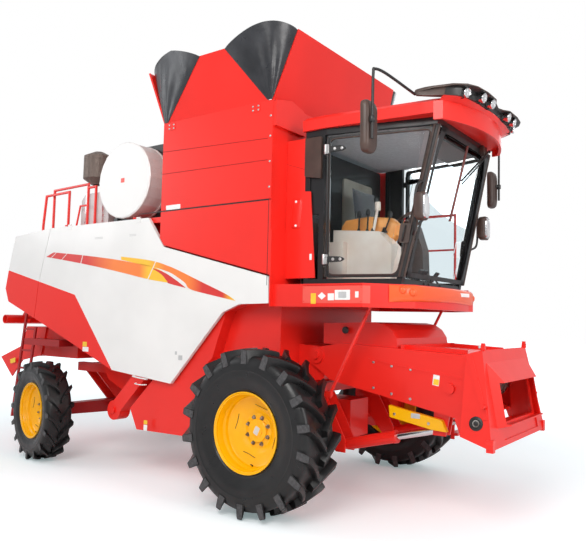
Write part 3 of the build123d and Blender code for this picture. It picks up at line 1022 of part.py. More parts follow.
def make_feeder():
    t = FEEDER_SHEET
    rear_top, front_top, front_low, rear_low = (400, 1515), (FEEDER_FRONT, 1459), (FEEDER_FRONT, 908), (286,
                                                                                                        1161)
    wall = side_profile([(PIVOT_X - 75, PIVOT_Z - 75), (PIVOT_X - 75, PIVOT_Z + 60), rear_top, front_top,
                         front_low, rear_low],
                        FEEDER_HALF - t, FEEDER_HALF)
    wall += drum_y(PIVOT_X, PIVOT_Z, FEEDER_HALF, FEEDER_HALF + 18, 82)
    wall += drum_y(DRUM_FRONT_X, DRUM_FRONT_Z, FEEDER_HALF, FEEDER_HALF + 24, 46, 12)
    wall -= shaft_y(PIVOT_X, PIVOT_Z, FEEDER_HALF - t, FEEDER_HALF + 18, PIVOT_R + SEAT)
    house = wall + mirrored(wall)
    house += side_profile([rear_top, front_top, (FEEDER_FRONT, 1459 - t), (400, 1515 - t)], -FEEDER_HALF,
                          FEEDER_HALF)
    house += side_profile([(400, 1137), (400, 1137 + t), (FEEDER_FRONT, 908 + t), front_low], -FEEDER_HALF,
                          FEEDER_HALF)
    # rounded cover over the rear end, and the ribs of the top sheet
    cover = [(180, 1505), (180, 1700), (740, 1722), (840, 1705), (920, 1655), (970, 1580), (988, 1480)]
    cover_in = [(192, 1480), (192, 1688), (740, 1710), (834, 1694), (911, 1647), (958, 1576), (975, 1470)]
    shell = side_profile(cover, -HOUSING_HALF, HOUSING_HALF)
    shell -= side_profile(cover_in, -HOUSING_HALF + 12, HOUSING_HALF - 12)
    shell -= side_profile([(100, 1400), (400, 1400), (400, 1512), (FEEDER_FRONT, 1455),
                           (FEEDER_FRONT, 1300)], -800, 800)
    house += shell
    for y in (-480, 480):
        house += side_profile([(1000, 1480), (1000, 1526), (1600, 1500), (1600, 1455)], y - 14, y + 14)
    house += box(1020, 1052, -590, 590, 1478, 1524)
    for side in (-1, 1):
        y = side * RAM_Y
        for offset in (-36 - RAM_CHEEK, 36):
            house += side_profile([(RAM_FRONT_X - 60, RAM_FRONT_Z + 80),
                                   (RAM_FRONT_X - 70, RAM_FRONT_Z - 50),
                                   (RAM_FRONT_X + 50, RAM_FRONT_Z - 50), (RAM_FRONT_X + 90,
                                                                          960), (RAM_FRONT_X - 60, 965)],
                                  y + offset, y + offset + RAM_CHEEK)
        inner_face = side * (RAM_Y - 36 - RAM_CHEEK)
        house += drum_y(RAM_FRONT_X, RAM_FRONT_Z, inner_face - side * 14, inner_face, RAM_PIN_R + 8)
    keep("feeder_house", house)

    seat_on_drum = (DRUM_FRONT_R + SEAT) / cos(pi / 12) - DRUM_FRONT_R
    slats = side_profile(chain_loop(33), -8, 8) - side_profile(chain_loop(seat_on_drum), -8, 8)
    strands = [Pos(0, y, 0) * slats for y in (-420.0, 0.0, 420.0)]
    chain = strands[0]
    for strand in strands[1:]:
        chain += strand
    lower_start, lower_end = Vector(*chain_loop(33)[-1]), Vector(*chain_loop(33)[0])
    upper_start, upper_end = Vector(*chain_loop(33)[6]), Vector(*chain_loop(33)[7])
    for start, end in ((lower_start, lower_end), (upper_start, upper_end)):
        along = (end - start).normalized()
        angle = degrees(atan2(along.Y, along.X))
        for index in range(5):
            at = start + (end - start) * ((index + 0.5) / 5)
            chain += Pos(at.X, 0, at.Y) * Rot(0, -angle, 0) * Box(30, 900, 24)
    keep("feeder_chain", chain)
    drum = shaft_y(DRUM_FRONT_X, DRUM_FRONT_Z, -FEEDER_HALF + t + SEAT, FEEDER_HALF - t - SEAT,
                   DRUM_FRONT_R)
    keep("feeder_drum", drum)

    back = FEEDER_FRONT + SEAT
    plate = side_profile([(back, 1470), (on_plate(FRAME_TOP_Z), FRAME_TOP_Z),
                          (on_plate(FRAME_FOOT_Z), FRAME_FOOT_Z), (back, 800)],
                         -800, 800)
    plate &= end_profile([(-FRAME_TOP_HALF, FRAME_TOP_Z), (-FRAME_FOOT_HALF, FRAME_FOOT_Z),
                          (FRAME_FOOT_HALF, FRAME_FOOT_Z),
                          (FRAME_TOP_HALF, FRAME_TOP_Z)], FEEDER_FRONT, 2000)
    inner_half = 560
    plate -= side_profile([(FEEDER_FRONT, 1450), (on_plate(1450, -FRAME_SKIN), 1450),
                           (on_plate(780, -FRAME_SKIN), 780),
                           (FEEDER_FRONT, 830)], -inner_half, inner_half)
    plate -= box(FEEDER_FRONT, 2000, -MOUTH_HALF, MOUTH_HALF, MOUTH_LOW, MOUTH_HIGH)
    # collar round the crop mouth, standing proud of the plate
    base_low, base_high, lip_low, lip_high, lip = MOUTH_LOW - 30, 1408, MOUTH_LOW - 10, 1245, 94

    def collar(inset, rear, front):
        rear_face = [(on_plate(z, rear), y * (MOUTH_HALF + 62 - inset), z + dz * inset)
                     for y, z, dz in ((-1, base_low, 1), (1, base_low, 1), (1, base_high, -1),
                                      (-1, base_high, -1))]
        front_face = [(on_plate(z, front), y * (MOUTH_HALF - 30 - inset), z + dz * inset)
                      for y, z, dz in ((-1, lip_low, 1), (1, lip_low, 1), (1, lip_high, -1),
                                       (-1, lip_high, -1))]
        return between(rear_face, front_face)

    plate += collar(0, -2, lip) - collar(12, -4, lip + 2)
    plate -= box(FEEDER_FRONT, 2000, -MOUTH_HALF, MOUTH_HALF, MOUTH_LOW + 2, MOUTH_HIGH - 52)
    # shallow pocket under the mouth
    pocket = [(on_plate(760, -12), 760), (on_plate(760, 5), 760), (on_plate(862, 5), 862),
              (on_plate(862, -12), 862)]
    plate -= side_profile(pocket, -420, 560)
    for side in (-1, 1):
        # hook lugs on the top edge, side cheeks with the lower shaft's hubs, corner feet
        hook = [(1752, 1500), (on_plate(1500, 0), 1500), (1794, 1505), (1786, 1566), (1760, 1566)]
        plate += side_profile(hook, side * 556, side * 586)
        cheek = [(1556, 925), (1600, 812), (on_plate(745, -4), 745), (on_plate(1050, -4), 1050),
                 (1700, 1010)]
        plate += side_profile(cheek, side * (FEEDER_HALF + 24), side * (FEEDER_HALF + 40))
        plate += drum_y(1757, 907, side * (FEEDER_HALF + 24), side * (FEEDER_HALF + 84), 50, 12)
        plate += drum_y(1757, 907, side * (FEEDER_HALF + 40), side * (FEEDER_HALF + 62), 66, 12)
        half = half_at(730)
        plate += box(on_plate(730, -50), on_plate(730, 8), side * (half - 60), side * (half - 8), 700, 800)
        plate += bar((on_plate(1057, 0) - 20, side * (half_at(1057) - 40), 1057),
                     (on_plate(1057, 0) - 20, side * (half_at(1057) + 70), 1057), 12)
    keep("header_frame", plate)

    lock_y = -RAM_Y - 36 - RAM_CHEEK - SEAT
    lock = side_profile([(909, 975), (1330, 905), (1416, 890), (1462, 795), (1330, 800), (919, 870)],
                        lock_y - 46, lock_y)
    keep("safety_lock", lock)

    a = Vector(RAM_REAR_X, 0, RAM_REAR_Z)
    b = Vector(RAM_FRONT_X, 0, RAM_FRONT_Z)
    along = (b - a).normalized()
    length = (b - a).length
    for letter, side in (("r", -1), ("l", 1)):
        y = side * RAM_Y

        def at(d):
            return tuple(a + Vector(0, y, 0) + along * d)

        barrel = flat_bar(at(40), at(RAM_TUBE_LENGTH), RAM_TUBE_R, 12)
        barrel += flat_bar(at(RAM_TUBE_LENGTH - 40), at(RAM_TUBE_LENGTH), RAM_TUBE_R + 5, 12)
        barrel -= bar(at(60), at(RAM_TUBE_LENGTH + 1), RAM_ROD_R + 1)
        barrel += shaft_y(RAM_REAR_X, RAM_REAR_Z, y - 75 + SEAT, y + 75 - SEAT, 45)
        barrel -= shaft_y(RAM_REAR_X, RAM_REAR_Z, y - 75, y + 75, RAM_PIN_R + SEAT)
        keep("lift_barrel_" + letter, barrel)
        rod = bar(at(RAM_TUBE_LENGTH - 250), at(length - 20), RAM_ROD_R)
        rod += shaft_y(RAM_FRONT_X, RAM_FRONT_Z, y - 36 + SEAT, y + 36 - SEAT, 42)
        keep("lift_rod_" + letter, rod)


make_wheels()
make_frame()
make_body()
make_tank()
make_cab_base()
make_cab_shell()
make_doors()
make_roof()
make_lights()
make_cab_inside()
make_access()
make_deck()
make_rear()
make_feeder()

os.makedirs("parts", exist_ok=True)
for name, shape in nodes.items():
    export_step(Pos(AXLE_X, 0, 0) * shape, "parts/" + name + ".step")
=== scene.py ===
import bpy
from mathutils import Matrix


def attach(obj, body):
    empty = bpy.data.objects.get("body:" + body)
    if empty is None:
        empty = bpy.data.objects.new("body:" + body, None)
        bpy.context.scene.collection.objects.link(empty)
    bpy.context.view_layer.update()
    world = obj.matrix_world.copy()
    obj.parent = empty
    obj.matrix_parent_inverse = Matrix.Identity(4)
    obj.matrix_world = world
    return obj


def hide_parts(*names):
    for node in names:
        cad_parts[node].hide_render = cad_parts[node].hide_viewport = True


bl_info = {
    "name": "Combine harvester looks",
    "version": (1, 0, 0),
    "blender": (4, 5, 0),
    "location": "View3D > Sidebar > Harvester",
    "description": "Dresses the harvester's frame with paint, tyres, rubber, glass and small fittings",
    "category": "Object",
}

from math import cos, pi, radians, sin

import bmesh
import bpy
from mathutils import Matrix, Vector

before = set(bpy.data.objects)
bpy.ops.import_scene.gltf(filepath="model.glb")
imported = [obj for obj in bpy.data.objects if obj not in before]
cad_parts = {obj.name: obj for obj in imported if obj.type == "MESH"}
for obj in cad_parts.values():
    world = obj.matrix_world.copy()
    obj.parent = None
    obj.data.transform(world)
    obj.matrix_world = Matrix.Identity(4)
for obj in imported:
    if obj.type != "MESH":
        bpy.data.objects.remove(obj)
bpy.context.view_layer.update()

# Millimetres about the drive axle, as in the part's source: +X forward, +Y left, +Z up
AXLE_X = 1555.0
WHEELBASE = 3374.0
BODY_HALF = 1100.0
BASE_FRONT, BASE_NOSE_HALF = 1199.0, 680.0
SKIN = 1.2                 # how far thin stickers stand off the paint
SIDES = (("r", -1), ("l", 1))
TANK_FRONT, TANK_REAR = -110.0, -1640.0
CAB_FLOOR = 2060.3
KINGPIN_Y = 1045.0
FEEDER_WALL = -620         # outside of the feeder's right wall
NUT_CIRCLE = 122
DRUM_CENTRE = (-2290, -1100, 3300)

# The photograph's camera: place in millimetres about the drive axle, and angles in degrees
CAMERA_PLACE = (3689, -5971, 1729)
CAMERA_YAW, CAMERA_PITCH, CAMERA_ROLL = 125.88, 4.317, 1.260


def at(x, y, z):
    """A place in metres in the frame, from millimetres about the drive axle."""
    return Vector(((x + AXLE_X) / 1000, y / 1000, z / 1000))


# Finishes
class Finish:
    """A material being mixed: its shader and the textures that feed it."""

    def __init__(self, name, colour, roughness, metallic=0.0):
        self.material = bpy.data.materials.new(name)
        self.material.use_nodes = True
        self.tree = self.material.node_tree
        self.shader = self.tree.nodes["Principled BSDF"]
        self.colour = tuple(colour[:3]) + (1.0,)
        self.set("Base Color", self.colour)
        self.set("Roughness", roughness)
        self.set("Metallic", metallic)
        self.material.diffuse_color = self.colour
        self.place = self.tree.nodes.new("ShaderNodeTexCoord").outputs["Object"]

    def set(self, socket, value):
        self.shader.inputs[socket].default_value = value

    def feed(self, source, socket):
        self.tree.links.new(source, self.shader.inputs[socket])

    def node(self, kind, inputs, **settings):
        """A new node; inputs maps a socket's name or number to a value or to another node's output."""
        made = self.tree.nodes.new(kind)
        for key, value in settings.items():
            setattr(made, key, value)
        for key, value in inputs.items():
            if isinstance(value, bpy.types.NodeSocket):
                self.tree.links.new(value, made.inputs[key])
            else:
                made.inputs[key].default_value = value
        return made

    def sum(self, operation, a, b=0.0):
        return self.node("ShaderNodeMath", {0: a, 1: b}, operation=operation).outputs[0]

    def noise(self, scale, detail=2.0, stretch=None):
        where = self.place
        if stretch:
            where = self.node("ShaderNodeMapping", {"Vector": self.place, "Scale": stretch}).outputs[0]
        return self.node("ShaderNodeTexNoise",
                         {"Vector": where, "Scale": scale, "Detail": detail}).outputs["Fac"]

    def remap(self, value, low, high, to_low, to_high):
        made = self.node("ShaderNodeMapRange", {"Value": value, "From Min": low, "From Max": high,
                                                "To Min": to_low, "To Max": to_high})
        return made.outputs["Result"]

    def cloud(self, scale, detail, low, high, dark, light):
        """Clouds the colour between dark and light."""
        share = self.remap(self.noise(scale, detail), low, high, 0.0, 1.0)
        self.feed(self.mix(share, tint(dark, 1.0), tint(light, 1.0)), "Base Color")

    def wear(self, scale, detail, low, high, smooth, rough, stretch=None):
        """Lets the roughness wander between smooth and rough."""
        self.feed(self.remap(self.noise(scale, detail, stretch), low, high, smooth, rough), "Roughness")

    def grain(self, *layers, stretch=None):
        """Stacks noise bumps, each (scale, detail, strength, distance in metres)."""
        self.relief([(self.noise(scale, detail, stretch), strength, distance)
                     for scale, detail, strength, distance in layers])

    def mix(self, share, a, b):
        return self.node("ShaderNodeMix", {0: share, 6: a, 7: b}, data_type="RGBA").outputs[2]

    def axes(self):
        made = self.node("ShaderNodeSeparateXYZ", {"Vector": self.place})
        return made.outputs["X"], made.outputs["Y"], made.outputs["Z"]

    def relief(self, layers):
        """Stacks bumps, each (height, strength, distance in metres), and feeds the shader's normal."""
        below = None
        for height, strength, distance in layers:
            inputs = {"Height": height, "Strength": strength, "Distance": distance}
            if below is not None:
                inputs["Normal"] = below
            below = self.node("ShaderNodeBump", inputs).outputs["Normal"]
        self.feed(below, "Normal")


def tint(colour, factor):
    return tuple(min(1.0, c * factor) for c in colour[:3]) + (1.0,)


def enamel(name, colour, gloss=0.32, wave=0.025, coat=0.15):
    """Sprayed enamel over sheet metal: faint clouding, orange peel and a slow ripple of the sheet."""
    paint = Finish(name, colour, gloss)
    paint.set("Coat Weight", coat)
    paint.set("Coat Roughness", 0.08)
    paint.set("Specular IOR Level", 0.36)
    cloud = paint.noise(1.3, 3.0)
    share = paint.remap(cloud, 0.35, 0.65, 0.0, 1.0)
    paint.feed(paint.mix(share, tint(colour, 0.96), tint(colour, 1.03)), "Base Color")
    grime = paint.noise(3.0, 3.0)
    paint.feed(paint.remap(grime, 0.3, 0.8, gloss * 0.92, gloss * 1.15), "Roughness")
    peel = paint.noise(240.0, 1.0)
    ripple = paint.noise(2.6, 1.0)
    paint.relief([(ripple, wave, 0.05), (peel, 0.03, 0.002)])
    return paint


def split_enamel(name, upper, lower):
    """White enamel with the red lower corner of the rear side panels, parted along two straight lines."""
    paint = enamel(name, upper, 0.24)
    x, _, z = paint.axes()
    knee_x, knee_z = at(-3107, 0, 0).x, 1.973
    level = paint.sum("MULTIPLY_ADD", x, -0.2285)
    level.node.inputs[2].default_value = knee_z + knee_x * 0.2285
    steep = paint.sum("MULTIPLY_ADD", x, -1.146)
    steep.node.inputs[2].default_value = knee_z + knee_x * 1.146
    under_level = paint.sum("LESS_THAN", z, level)
    under_steep = paint.sum("LESS_THAN", z, steep)
    red_share = paint.sum("MULTIPLY", under_level, under_steep)
    base = paint.shader.inputs["Base Color"].links[0].from_socket
    paint.feed(paint.mix(red_share, base, tint(lower, 1.0)), "Base Color")
    return paint


def make_finishes(paint):
    """Every material of the machine, by the name that its pieces ask for."""
    made = {}

    def keep(finish):
        made[finish.material.name] = finish.material
        return finish

    keep(enamel("red enamel", paint.red))
    # a darker copy of the red: painted shade on the rear axle, knuckles, rear step and seams
    keep(enamel("red enamel darkened for painted shade", paint.red_in_painted_shade, 0.38))
    keep(enamel("white enamel", paint.white, 0.24))
    keep(enamel("yellow enamel", paint.yellow, 0.3, wave=0.0, coat=0.1))
    keep(enamel("lighter red", (0.86, 0.10, 0.075), 0.34))
    keep(enamel("orange enamel", (0.92, 0.115, 0.026), 0.34))
    keep(enamel("black enamel", (0.012, 0.012, 0.013), 0.3))
    keep(enamel("grey enamel", paint.grey, 0.34))
    keep(split_enamel("two tone enamel", paint.white, paint.red))

    rubber = keep(Finish("tyre rubber", paint.rubber, 0.5))
    rubber.set("Specular IOR Level", 0.45)
    rubber.cloud(9.0, 6.0, 0.3, 0.75, tint(paint.rubber, 0.6), tint(paint.rubber, 1.3))
    rubber.wear(14.0, 4.0, 0.3, 0.7, 0.26, 0.46)
    rubber.grain((60.0, 4.0, 0.12, 0.004), (420.0, 1.0, 0.1, 0.0015))

    # a lighter copy of the tyre rubber: painted highlight on the blunt ends of the tread bars
    cut = keep(Finish("rubber lightened for painted highlight", tint(paint.rubber, 4.5), 0.62))
    cut.cloud(40.0, 3.0, 0.3, 0.7, tint(paint.rubber, 4.0), tint(paint.rubber, 9.5))
    cut.grain((160.0, 3.0, 0.2, 0.002))

    sheet = keep(Finish("rubber sheet", (0.020, 0.021, 0.024), 0.3))
    sheet.wear(5.0, 4.0, 0.3, 0.7, 0.24, 0.4)
    sheet.cloud(3.0, 5.0, 0.35, 0.7, (0.016, 0.017, 0.02), (0.045, 0.047, 0.053))
    sheet.grain((7.0, 2.0, 0.25, 0.02), (500.0, 1.0, 0.06, 0.001))

    plastic = keep(Finish("brown plastic", paint.plastic, 0.42))
    plastic.cloud(6.0, 3.0, 0.3, 0.7, tint(paint.plastic, 0.8), tint(paint.plastic, 1.3))
    plastic.grain((380.0, 2.0, 0.12, 0.0015))

    trim = keep(Finish("black trim", (0.014, 0.013, 0.013), 0.36))
    trim.wear(18.0, 3.0, 0.3, 0.7, 0.28, 0.5)
    trim.grain((300.0, 2.0, 0.08, 0.001))

    steel = keep(Finish("bare steel", (0.62, 0.61, 0.6), 0.3, 1.0))
    steel.wear(30.0, 5.0, 0.3, 0.7, 0.2, 0.45, (1.0, 14.0, 1.0))
    steel.grain((120.0, 3.0, 0.06, 0.001), stretch=(1.0, 20.0, 1.0))

    keep(Finish("hard chrome", (0.74, 0.74, 0.75), 0.12, 1.0)).wear(50.0, 3.0, 0.3, 0.7, 0.08, 0.2)
    keep(Finish("mirror glass", (0.85, 0.87, 0.88), 0.03, 1.0)).wear(6.0, 3.0, 0.4, 0.8, 0.02, 0.08)
    keep(Finish("wiper blade", (0.16, 0.035, 0.028), 0.4)).wear(40.0, 2.0, 0.3, 0.7, 0.3, 0.5)

    worn = keep(Finish("worn steel", (0.2, 0.17, 0.15), 0.5, 0.8))
    worn.cloud(22.0, 6.0, 0.35, 0.65, (0.09, 0.05, 0.035), (0.42, 0.4, 0.38))
    worn.grain((90.0, 4.0, 0.3, 0.002))

    glass = keep(Finish("cab glass", (0.86, 0.92, 0.94), 0.02))
    glass.set("Transmission Weight", 1.0)
    glass.set("IOR", 1.12)
    glass.wear(3.0, 4.0, 0.4, 0.8, 0.0, 0.05)

    film = keep(Finish("tinted film", (0.35, 0.32, 0.30), 0.05))
    film.set("Transmission Weight", 1.0)
    film.set("IOR", 1.02)
    film.wear(4.0, 2.0, 0.3, 0.7, 0.02, 0.08)

    lens = keep(Finish("lamp lens", (0.93, 0.94, 0.95), 0.06))
    lens.set("Transmission Weight", 0.55)
    lens.set("IOR", 1.4)
    flutes = lens.node("ShaderNodeTexWave", {"Vector": lens.place, "Scale": 60.0}, bands_direction="Y")
    lens.relief([(flutes.outputs["Fac"], 0.35, 0.002)])

    cloth = keep(Finish("seat cloth", (0.045, 0.047, 0.055), 0.85))
    cloth.set("Sheen Weight", 0.4)
    weave = cloth.node("ShaderNodeTexWave", {"Vector": cloth.place, "Scale": 260.0},
                       bands_direction="DIAGONAL")
    cloth.feed(cloth.mix(weave.outputs["Fac"], (0.03, 0.031, 0.036, 1), (0.075, 0.078, 0.09, 1)),
               "Base Color")
    cloth.relief([(weave.outputs["Fac"], 0.4, 0.0015)])

    # mouldings, lining, wall and casting: colour, roughness, scale of the clouds, their two colours, grain
    for name, colour, rough, size, dark, light, grain in (
            ("roof lining", (0.42, 0.40, 0.39), 0.85, (30.0, 3.0), (0.60, 0.60, 0.61), (0.70, 0.70, 0.71),
             (420.0, 2.0, 0.25, 0.001)),
            ("rear wall", (0.05, 0.042, 0.04), 0.6, (5.0, 3.0), (0.04, 0.034, 0.032), (0.08, 0.066, 0.06),
             (300.0, 2.0, 0.15, 0.001)),
            ("beige moulding", (0.62, 0.47, 0.36), 0.5, (4.0, 3.0), (0.56, 0.42, 0.32), (0.70, 0.55, 0.43),
             (300.0, 2.0, 0.1, 0.001)),
            ("cream moulding", (0.80, 0.66, 0.56), 0.5, (3.0, 3.0), (0.74, 0.58, 0.48), (0.86, 0.76, 0.68),
             (300.0, 2.0, 0.1, 0.001)),
            ("orange moulding", (0.83, 0.30, 0.06), 0.45, (4.0, 3.0), (0.74, 0.24, 0.05), (0.9, 0.38, 0.1),
             (300.0, 2.0, 0.1, 0.001)),
            ("painted casting", (0.075, 0.08, 0.085), 0.55, (12.0, 5.0), (0.05, 0.052, 0.056),
             (0.12, 0.125, 0.13), (150.0, 4.0, 0.3, 0.002))):
        moulded = keep(Finish(name, colour, rough))
        moulded.cloud(*size, 0.3, 0.7, dark, light)
        moulded.grain(grain)

    drum = keep(Finish("drum cover", paint.white, 0.3))
    on_side = drum.sum("GREATER_THAN", drum.axes()[1], -1.083)
    holes = drum.node("ShaderNodeTexVoronoi", {"Vector": drum.place, "Scale": 170.0}).outputs["Distance"]
    dots = drum.remap(holes, 0.25, 0.45, 0.0, 1.0)
    screen = drum.mix(dots, (0.42, 0.39, 0.37, 1), (0.72, 0.69, 0.66, 1))
    drum.feed(drum.mix(on_side, tint(paint.white, 1.0), screen), "Base Color")
    drum.relief([(drum.sum("MULTIPLY", dots, on_side), 0.3, 0.002)])

    mesh = keep(Finish("wire screen", (0.24, 0.2, 0.18), 0.55, 0.4))
    cells = mesh.node("ShaderNodeTexVoronoi", {"Vector": mesh.place, "Scale": 120.0}).outputs["Distance"]
    open_share = mesh.remap(cells, 0.3, 0.5, 0.0, 1.0)
    mesh.feed(mesh.mix(open_share, (0.03, 0.022, 0.018, 1), (0.26, 0.20, 0.17, 1)), "Base Color")
    mesh.relief([(open_share, 0.6, 0.004)])

    for name, colour in (("sticker white", (0.86, 0.85, 0.83)), ("sticker yellow", (0.9, 0.55, 0.03)),
                         ("sticker grey", (0.50, 0.50, 0.50))):
        keep(Finish(name, colour, 0.35)).cloud(30.0, 2.0, 0.3, 0.7, tint(colour, 0.94), tint(colour, 1.05))
    keep(stripe_film("lower stripe", (-3.70, -1.20), (
        (0.00, paint.stripe_red), (0.32, paint.stripe_red), (0.52, paint.stripe_orange),
        (0.70, paint.stripe_orange), (0.76, paint.stripe_yellow), (0.92, paint.stripe_yellow))))
    keep(stripe_film("stripe blade", (-1.80, -1.20),
                     ((0.0, paint.stripe_red), (1.0, paint.stripe_red))))
    keep(stripe_film("upper stripe", (-2.27, -0.52), (
        (0.00, paint.stripe_yellow), (0.26, paint.stripe_yellow), (0.42, paint.stripe_orange),
        (0.62, paint.stripe_orange), (0.74, paint.stripe_red), (0.90, paint.stripe_red),
        (0.97, paint.stripe_yellow))))
    return made


def stripe_film(name, span, stops):
    """Printed film whose colour runs along the machine between the given stops."""
    film = Finish(name, stops[0][1], 0.3)
    start, end = (at(v * 1000, 0, 0).x for v in span)
    share = film.remap(film.axes()[0], start, end, 0.0, 1.0)
    ramp = film.node("ShaderNodeValToRGB", {0: share})
    band = ramp.color_ramp
    while len(band.elements) < len(stops):
        band.elements.new(0.5)
    for element, (position, colour) in zip(band.elements, stops):
        element.position = position
        element.color = tuple(colour[:3]) + (1.0,)
    film.feed(ramp.outputs["Color"], "Base Color")
    return film


FINISHES = {}


def finish(name):
    """The material of that name, mixed on first use from the paint settings."""
    if not FINISHES:
        FINISHES.update(make_finishes(bpy.context.scene.harvester_paint))
    return FINISHES[name]


# Shapes
class Form:
    """Gathers the faces of one piece, in millimetres about the drive axle."""

    def __init__(self, place=None):
        self.points, self.faces, self.marks = [], [], []
        self.place = place or Matrix.Identity(4)
        self.mark = 0

    def add(self, point):
        self.points.append(self.place @ Vector(point))
        return len(self.points) - 1

    def face(self, *corners):
        self.faces.append(corners)
        self.marks.append(self.mark)

    def polygon(self, points):
        self.face(*[self.add(p) for p in points])

    def skin(self, rows, ring=False, loop=False):
        """Quads over a grid of points; ring joins a row's ends and loop joins the last row to the first."""
        grid = [[self.add(p) for p in row] for row in rows]
        count = len(grid[0])
        pairs = list(zip(grid, grid[1:] + grid[:1])) if loop else list(zip(grid, grid[1:]))
        for low, high in pairs:
            for i in range(count if ring else count - 1):
                j = (i + 1) % count
                self.face(low[i], low[j], high[j], high[i])
        return grid

    def loft(self, sections):
        """A closed solid through rings of points."""
        grid = self.skin(sections, ring=True)
        self.face(*reversed(grid[0]))
        self.face(*grid[-1])

    def lathe(self, profile, segments, centre, axis="Y"):
        """Turns an (r, along) profile about an axis through centre."""
        rows = []
        for r, along in profile:
            row = []
            for step in range(segments):
                a = 2 * pi * step / segments
                u, v = r * cos(a), r * sin(a)
                offset = {"Y": (u, along, -v), "Z": (u, v, along), "X": (along, u, v)}[axis]
                row.append(Vector(centre) + Vector(offset))
            rows.append(row)
        self.skin(rows, ring=True)
        return rows

    def turned(self, profile, segments, centre, axis="Y"):
        """A lathed solid closed with flat ends."""
        rows = self.lathe(profile, segments, centre, axis)
        self.polygon(list(reversed(rows[0])))
        self.polygon(rows[-1])

    def tube(self, path, radius, sides=10):
        """A round bar along a path, with its ends closed."""
        path = [Vector(p) for p in path]
        rings = []
        side = None
        for index, here in enumerate(path):
            before = path[max(index - 1, 0)]
            after = path[min(index + 1, len(path) - 1)]
            along = (after - before).normalized()
            if side is None:
                side = along.orthogonal().normalized()
            side = (side - along * side.dot(along)).normalized()
            other = along.cross(side)
            rings.append([here + (side * cos(2 * pi * k / sides) + other * sin(2 * pi * k / sides)) * radius
                          for k in range(sides)])
        self.loft(rings)

    def block(self, low, high):
        (x0, y0, z0), (x1, y1, z1) = low, high
        self.loft([[(x0, y0, z0), (x1, y0, z0), (x1, y1, z0), (x0, y1, z0)],
                   [(x0, y0, z1), (x1, y0, z1), (x1, y1, z1), (x0, y1, z1)]])

    def slab(self, outline, shift):
        """A plate from a flat outline of points, thickened along shift."""
        shift = Vector(shift)
        self.loft([[Vector(p) for p in outline], [Vector(p) + shift for p in outline]])

    def bolt(self, centre, normal, width=16, height=9):
        """A hexagon head on a washer."""
        normal = Vector(normal).normalized()
        side = normal.orthogonal().normalized()
        other = normal.cross(side)

        def ring(r, up, count, turn=0.0):
            return [Vector(centre) + normal * up + (side * cos(2 * pi * k / count + turn)
                    + other * sin(2 * pi * k / count + turn)) * r for k in range(count)]

        self.loft([ring(width * 0.75, 0, 14), ring(width * 0.72, 2, 14)])
        self.loft([ring(width * 0.55, 2, 6), ring(width * 0.55, height - 1.5, 6),
                   ring(width * 0.46, height, 6)])

    def piece(self, name, body, finishes, smooth=35.0, bevel=0.0, subdivide=0, solid=0.0):
        """Makes the object, shades it, and lets it ride on its body."""
        mesh = bpy.data.meshes.new(name)
        places = [((p.x + AXLE_X) / 1000, p.y / 1000, p.z / 1000) for p in self.points]
        mesh.from_pydata(places, [], self.faces)
        for label in finishes:
            mesh.materials.append(finish(label))
        for polygon, mark in zip(mesh.polygons, self.marks):
            polygon.material_index = mark
        made = bpy.data.objects.new(name, mesh)
        bpy.context.collection.objects.link(made)
        tidy(made, smooth)
        if solid:
            modifier = made.modifiers.new("thickness", "SOLIDIFY")
            modifier.thickness = solid / 1000
            modifier.offset = 0
        if bevel:
            modifier = made.modifiers.new("worn edges", "BEVEL")
            modifier.width = bevel / 1000
            modifier.segments = 2
            modifier.limit_method = "ANGLE"
            modifier.angle_limit = radians(40)
        if subdivide:
            modifier = made.modifiers.new("smooth form", "SUBSURF")
            modifier.levels = modifier.render_levels = subdivide
        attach(made, body)
        return made


def tidy(made, smooth):
    """Merges doubled points, turns faces outwards and marks the edges that stay crisp."""
    work = bmesh.new()
    work.from_mesh(made.data)
    bmesh.ops.remove_doubles(work, verts=work.verts, dist=0.00002)
    bmesh.ops.recalc_face_normals(work, faces=work.faces)
    limit = radians(smooth)
    for edge in work.edges:
        edge.smooth = len(edge.link_faces) == 2 and edge.calc_face_angle(pi) < limit
    for polygon in work.faces:
        polygon.smooth = smooth > 0
    work.to_mesh(made.data)
    work.free()


def eased(points, steps):
    """A smooth path through points, as Catmull-Rom spans."""
    points = [Vector(p) for p in points]
    padded = [points[0] * 2 - points[1]] + points + [points[-1] * 2 - points[-2]]
    path = []
    for i in range(1, len(padded) - 2):
        a, b, c, d = padded[i - 1:i + 3]
        for step in range(steps):
            t = step / steps
            path.append(0.5 * (2 * b + (c - a) * t + (2 * a - 5 * b + 4 * c - d) * t * t
                               + (3 * b - a - 3 * c + d) * t ** 3))
    path.append(padded[-2])
    return path


def paint_node(name, *finishes):
    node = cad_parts[name]
    node.data.materials.clear()
    for label in finishes:
        node.data.materials.append(finish(label))


# Settings
def colour_setting(name, description, default):
    return bpy.props.FloatVectorProperty(name=name, description=description, default=default,
                                         subtype="COLOR", size=3, min=0.0, max=1.0)


class HarvesterPaint(bpy.types.PropertyGroup):
    red: colour_setting("Red", "Main enamel of the body", (0.84, 0.021, 0.013))
    # red darkened as painted shade, for parts that sit in shade under the machine and for seams
    red_in_painted_shade: colour_setting("Dark red", "Steps and shaded brackets", (0.36, 0.010, 0.010))
    white: colour_setting("White", "Side panels and drum cap", (0.82, 0.81, 0.79))
    yellow: colour_setting("Yellow", "Wheel rims and safety lock", (0.96, 0.47, 0.0))
    grey: colour_setting("Grey", "Fuel tank", (0.62, 0.62, 0.61))
    rubber: colour_setting("Rubber", "Tyres", (0.0085, 0.0082, 0.0085))
    plastic: colour_setting("Plastic", "Mirrors, lamp bodies and the light pod", (0.060, 0.034, 0.026))
    stripe_red: colour_setting("Stripe red", "Dark end of the side stripes", (0.66, 0.035, 0.03))
    stripe_orange: colour_setting("Stripe orange", "Middle of the side stripes", (0.90, 0.22, 0.04))
    stripe_yellow: colour_setting("Stripe yellow", "Light end of the side stripes", (0.93, 0.52, 0.03))


